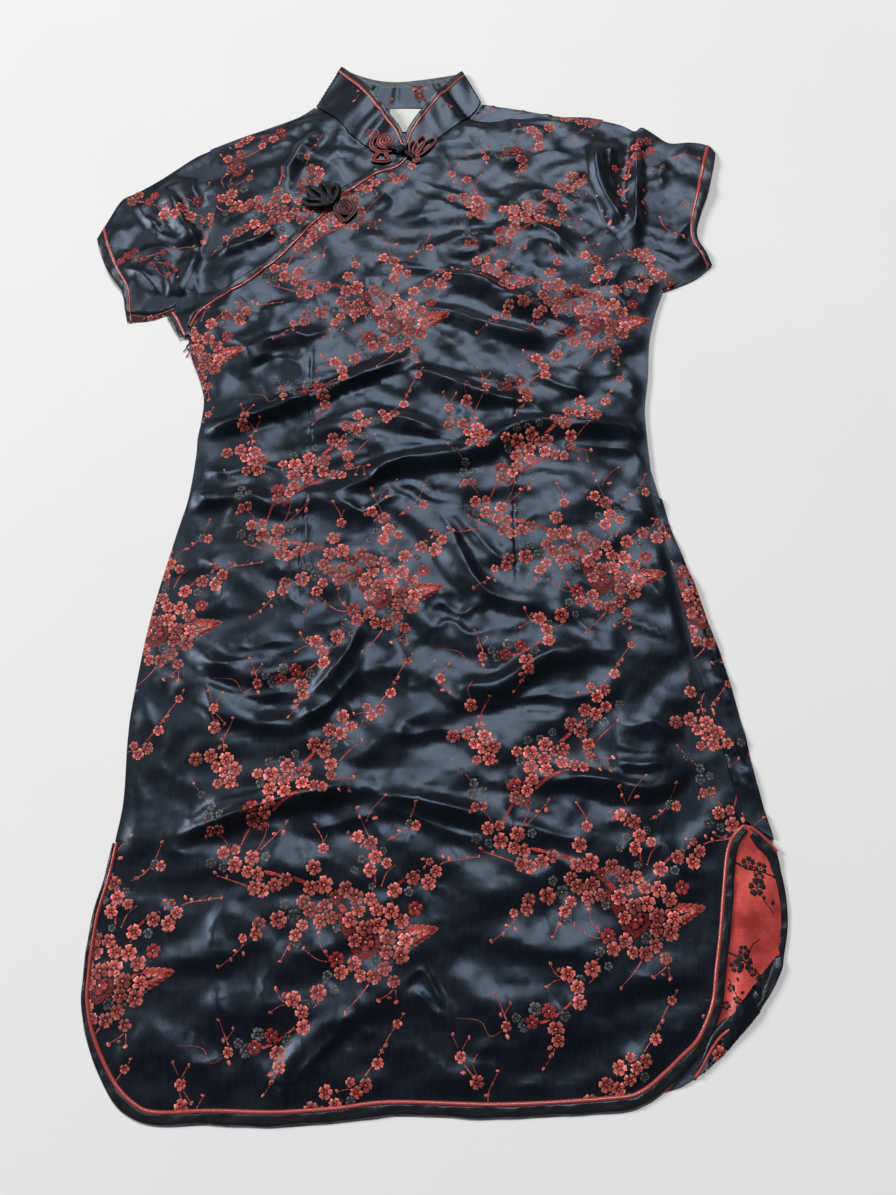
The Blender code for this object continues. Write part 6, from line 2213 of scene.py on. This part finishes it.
# ---- frogs ----
LINE_RADIUS = 0.7      # the fine red cord along a frog's edge
LINE_RISE = 1.45       # height of its middle above what the frog lies on, in the frog's radii
LINE_TUCK = 0.2        # how far it lies in the frog's side, in its own radii
CORD_RISE = 0.85       # height of a frog's middle above what it lies on, in its radii
BUTTON_RADIUS = 5.4
BUTTON_TALL = 6.0
BUTTON_FULL = 0.97     # the ball's mean radius, as a share of the button's
BUTTON_GROOVE = 0.10   # depth of a ball's grooves, in its radii
BUTTON_GROOVE_HALF = 0.22  # their half width
BUTTON_AROUND = 28     # points round a ball
BUTTON_RINGS = 15
NECK_ROSE = (-43.0, 385.5)
NECK_LOOP = (
    (-37, 375), (-43, 373), (-48.5, 373.6), (-54.5, 376.5), (-57.5, 382), (-56, 388.5), (-52, 393),
    (-51.5, 397), (-54.5, 398),
)
NECK_LOBE = (
    (-42.5, 374), (-41.5, 369), (-37.5, 364), (-42, 362), (-51, 362), (-55.5, 364.5), (-52, 369.5),
    (-49.5, 374),
)
NECK_ROOT = (-15.5, 364)
NECK_TIPS = ((-14, 385), (-4.5, 391), (6.5, 387.5))
NECK_CURL = (-12, 361)
NECK_BUTTON = (-27.0, 373)
NECK_STRAP = ((-41, 378), (-35, 376.5), (-29, 374), (-24, 371), (-18, 367), (-14, 363.5))
BUST_ROOT = (-95, 304)
BUST_TIPS = ((-122, 312), (-118, 330), (-105, 335), (-90, 328.5))
BUST_ROSE = (-80.5, 303)
BUST_LOOP = (
    (-91, 309), (-90.5, 302), (-88, 296), (-81, 288.5), (-74, 296), (-70.5, 304), (-74, 312),
)
BUST_BUTTON = (-94.5, 311)


ABOVE_ALL = 0.1        # a height in metres that lies over every piece


class Surface:
    """The pieces made so far, seen from above."""

    def __init__(self, pieces):
        bpy.context.view_layer.update()
        graph = bpy.context.evaluated_depsgraph_get()
        self.trees = [BVHTree.FromObject(piece, graph) for piece in pieces]

    def top(self, x, y):
        """The height in mm of the uppermost piece at a plan point, 0 on the bare floor."""
        best = 0.0
        for tree in self.trees:
            hit = tree.ray_cast(Vector((x * MM, y * MM, ABOVE_ALL)), Vector((0, 0, -1)))
            if hit[0] is not None:
                best = max(best, hit[0].z / MM)
        return best

    def rest(self, x, y, radius):
        """The highest top within a radius of a plan point."""
        spots = [(x, y)] + [polar(x, y, radius, 45 * k) for k in range(8)]
        return max(self.top(*spot) for spot in spots)


def turned(centre, angle, points):
    """Plan points about the origin, turned by an angle in degrees and moved to a centre."""
    turn = math.radians(angle)
    return [
        (centre[0] + x * math.cos(turn) - y * math.sin(turn),
         centre[1] + x * math.sin(turn) + y * math.cos(turn))
        for x, y in points
    ]


def spiral(first, last, start, turns):
    """Plan points of a spiral, from one radius to another, starting at an angle in degrees."""
    count = int(turns * 14)
    return [
        polar(0, 0, first + (last - first) * k / count, start + 360 * turns * k / count)
        for k in range(count + 1)
    ]


# one narrow loop of cord, columns share of its length, share of its width
FAN_LOOP = ((0.05, 0.12), (0.45, 0.42), (0.80, 0.40), (1.0, 0), (0.80, -0.40), (0.45, -0.42), (0.05, -0.12))


def fan(root, tips, width):
    """Plan points of one cord bent into narrow loops, from a root to each of the tips in turn."""
    root = np.array(root, float)
    rows = []
    for tip in tips:
        along = np.array(tip) - root
        across = np.array((-along[1], along[0])) / np.linalg.norm(along) * width
        rows += [tuple(root + along * far + across * out) for far, out in FAN_LOOP]
    return rows


def frog(surface, name, plan, looks, radius, sides=(), lines=LINE_LOOKS, nodes=None):
    """A bent cord that lies on the surface, with fine red cords along its sides."""
    path = curve(plan, 1.3)
    rest = np.array([surface.rest(x, y, radius * 0.8) for x, y in path])
    level = np.array([rest[max(0, k - 3):k + 4].max() for k in range(len(rest))])
    level = np.convolve(np.pad(level, 3, mode="edge"), np.ones(7) / 7, mode="valid")
    nodes = (name,) if nodes is None else nodes
    tube(name, path, level + radius * CORD_RISE, radius, looks, nodes, 12, 0.09)
    for side in sides:
        beyond = shifted(path, side * (radius - LINE_RADIUS * LINE_TUCK))
        heights = level + radius * LINE_RISE
        label = "left" if side > 0 else "right"
        tube(f"{name}_{label}_line", beyond, heights, LINE_RADIUS, lines, (), 8, 0.05)


KNOT_AXES = [
    np.array(axis) / np.linalg.norm(axis)
    for axis in ((1, 0.2, 0.35), (-0.35, 1, 0.3), (0.6, -0.75, 0.75), (-0.8, -0.5, 0.6))
]


def ball(surface, name, centre, looks):
    """A knotted ball button: a round ball with a groove round the middle across each knot axis."""
    base = surface.rest(*centre, BUTTON_RADIUS * 0.7)
    base = max(base, surface.rest(*centre, BUTTON_RADIUS) - BUTTON_TALL * 0.2)
    rings = []
    for tilt in np.linspace(0.06, math.pi - 0.06, BUTTON_RINGS):
        ring = []
        for k in range(BUTTON_AROUND):
            angle = 2 * math.pi * k / BUTTON_AROUND
            out = math.sin(tilt)
            spot = np.array((out * math.cos(angle), out * math.sin(angle), math.cos(tilt)))
            knots = [abs(spot @ axis) for axis in KNOT_AXES]
            groove = BUTTON_GROOVE * (1 - smooth_step(np.array(min(knots) / BUTTON_GROOVE_HALF)))
            weave = 0.035 * math.cos(9 * knots[0] * math.pi) * math.cos(7 * knots[1] * math.pi)
            spot *= 1 - groove + weave
            ring.append((
                centre[0] + BUTTON_RADIUS * BUTTON_FULL * spot[0],
                centre[1] + BUTTON_RADIUS * BUTTON_FULL * spot[1],
                base + BUTTON_TALL / 2 * (1 + BUTTON_FULL * spot[2]),
            ))
        rings.append(ring)
    register(loft(name, rings[::-1], looks), (name,))


def make_frogs(surface):
    both = (-1, 1)
    frog(surface, "neck_frog_spiral", turned(NECK_ROSE, 0, spiral(1.3, 8.6, 200, 2.4)), FROG_LOOKS, 1.3, both)
    frog(surface, "neck_frog_loop", NECK_LOOP, FROG_LOOKS, 1.4, both, nodes=())
    frog(surface, "neck_frog_lobe", NECK_LOBE, FROG_LOOKS, 1.4, both)
    frog(surface, "neck_frog_petals", fan(NECK_ROOT, NECK_TIPS, 7.5), FROG_LOOKS, 1.3, (1,))
    frog(surface, "neck_frog_curl", turned(NECK_CURL, 0, spiral(1.2, 3.6, 90, 1.2)), FROG_LOOKS, 1.2, both,
         nodes=())
    frog(surface, "neck_frog_strap", NECK_STRAP, FROG_LOOKS, 2.3, nodes=())
    frog(surface, "bust_frog_petals", fan(BUST_ROOT, BUST_TIPS, 8.5), FROG_LOOKS, 2.7)
    frog(surface, "bust_frog_swirl", turned(BUST_ROSE, 0, spiral(1.3, 8.0, 60, 2.2)), FROG_LOOKS, 1.3, both,
         WINE_LOOKS)
    frog(surface, "bust_frog_loop", BUST_LOOP, FROG_LOOKS, 1.3, both, WINE_LOOKS, nodes=())
    ball(surface, "neck_frog_button", NECK_BUTTON, FROG_LOOKS)
    ball(surface, "bust_frog_button", BUST_BUTTON, FROG_LOOKS)


FLOOR_HALF = 2500
FLOOR_THICK = 5
FLOOR_DROP = 0.0001    # how far the floor lies below z = 0, in metres


def make_stage():
    section = (
        (-FLOOR_HALF, 0), (FLOOR_HALF, 0), (FLOOR_HALF, -FLOOR_THICK), (-FLOOR_HALF, -FLOOR_THICK),
    )
    ends = [[(x, y, z) for y, z in section] for x in (-FLOOR_HALF, FLOOR_HALF)]
    floor = loft("floor", ends, (floor_cloth(),))
    floor.location.z = -FLOOR_DROP


def light(name, place, aim, size, power, colour):
    """A rectangular area light at a place, aimed at a point, with its sides in metres."""
    lamp = bpy.data.lights.new(name, "AREA")
    lamp.shape = "RECTANGLE"
    lamp.size, lamp.size_y = size
    lamp.energy = power
    lamp.color = colour
    obj = bpy.data.objects.new(name, lamp)
    obj.location = place
    obj.rotation_euler = (Vector(aim) - Vector(place)).to_track_quat("-Z", "Y").to_euler()
    bpy.context.scene.collection.objects.link(obj)


LAMP_WHITE = (1.0, 0.99, 0.975)
SKY_WHITE = (0.93, 0.96, 1.0, 1)
SKY_STRENGTH = 0.06


def make_lights():
    light("key", (0.3, 5.4, 8.3), (0, 0, 0), (2.4, 1.4), 545, LAMP_WHITE)
    light("side", (-8.0, 2.5, 4.5), (0, 0, 0), (2.6, 2.6), 700, LAMP_WHITE)
    world = bpy.data.worlds.new("studio")
    world.use_nodes = True
    backdrop = world.node_tree.nodes["Background"]
    backdrop.inputs["Color"].default_value = SKY_WHITE
    backdrop.inputs["Strength"].default_value = SKY_STRENGTH
    bpy.context.scene.world = world
    bpy.context.scene.view_settings.view_transform = "Standard"


# the camera fitted to the photo: place in metres, tilt from straight down in degrees, lens in mm
CAMERA_PLACE = (0.02, -0.335, 0.7298)
CAMERA_TILT = 18.193
CAMERA_LENS = 27.11
SENSOR_WIDTH = 36


def make_camera():
    lens = bpy.data.cameras.new("camera")
    lens.lens = CAMERA_LENS
    lens.sensor_width = SENSOR_WIDTH
    lens.clip_start = 0.01
    obj = bpy.data.objects.new("camera", lens)
    obj.location = CAMERA_PLACE
    obj.rotation_euler = (math.radians(CAMERA_TILT), 0, 0)
    bpy.context.scene.collection.objects.link(obj)
    bpy.context.scene.camera = obj


make_back()
make_yoke()
make_front()
make_sleeve("left", Sleeve(SLEEVE_LEFT_TOP, SLEEVE_LEFT_CUFF, SLEEVE_LEFT_UNDER, ARMHOLE_LEFT),
            tuck_motifs() + sprig(**LEFT_SLEEVE))
make_sleeve("right", Sleeve(SLEEVE_RIGHT_TOP, SLEEVE_RIGHT_CUFF, SLEEVE_RIGHT_UNDER, ARMHOLE_RIGHT[::-1]),
            sprig(**RIGHT_SLEEVE))
make_trims()
make_collar()
make_label()
made = [obj for obj in bpy.context.scene.objects if obj.type == "MESH" and "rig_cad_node" not in obj]
make_frogs(Surface(made))
make_stage()
make_lights()
make_camera()
bpy.context.view_layer.update()
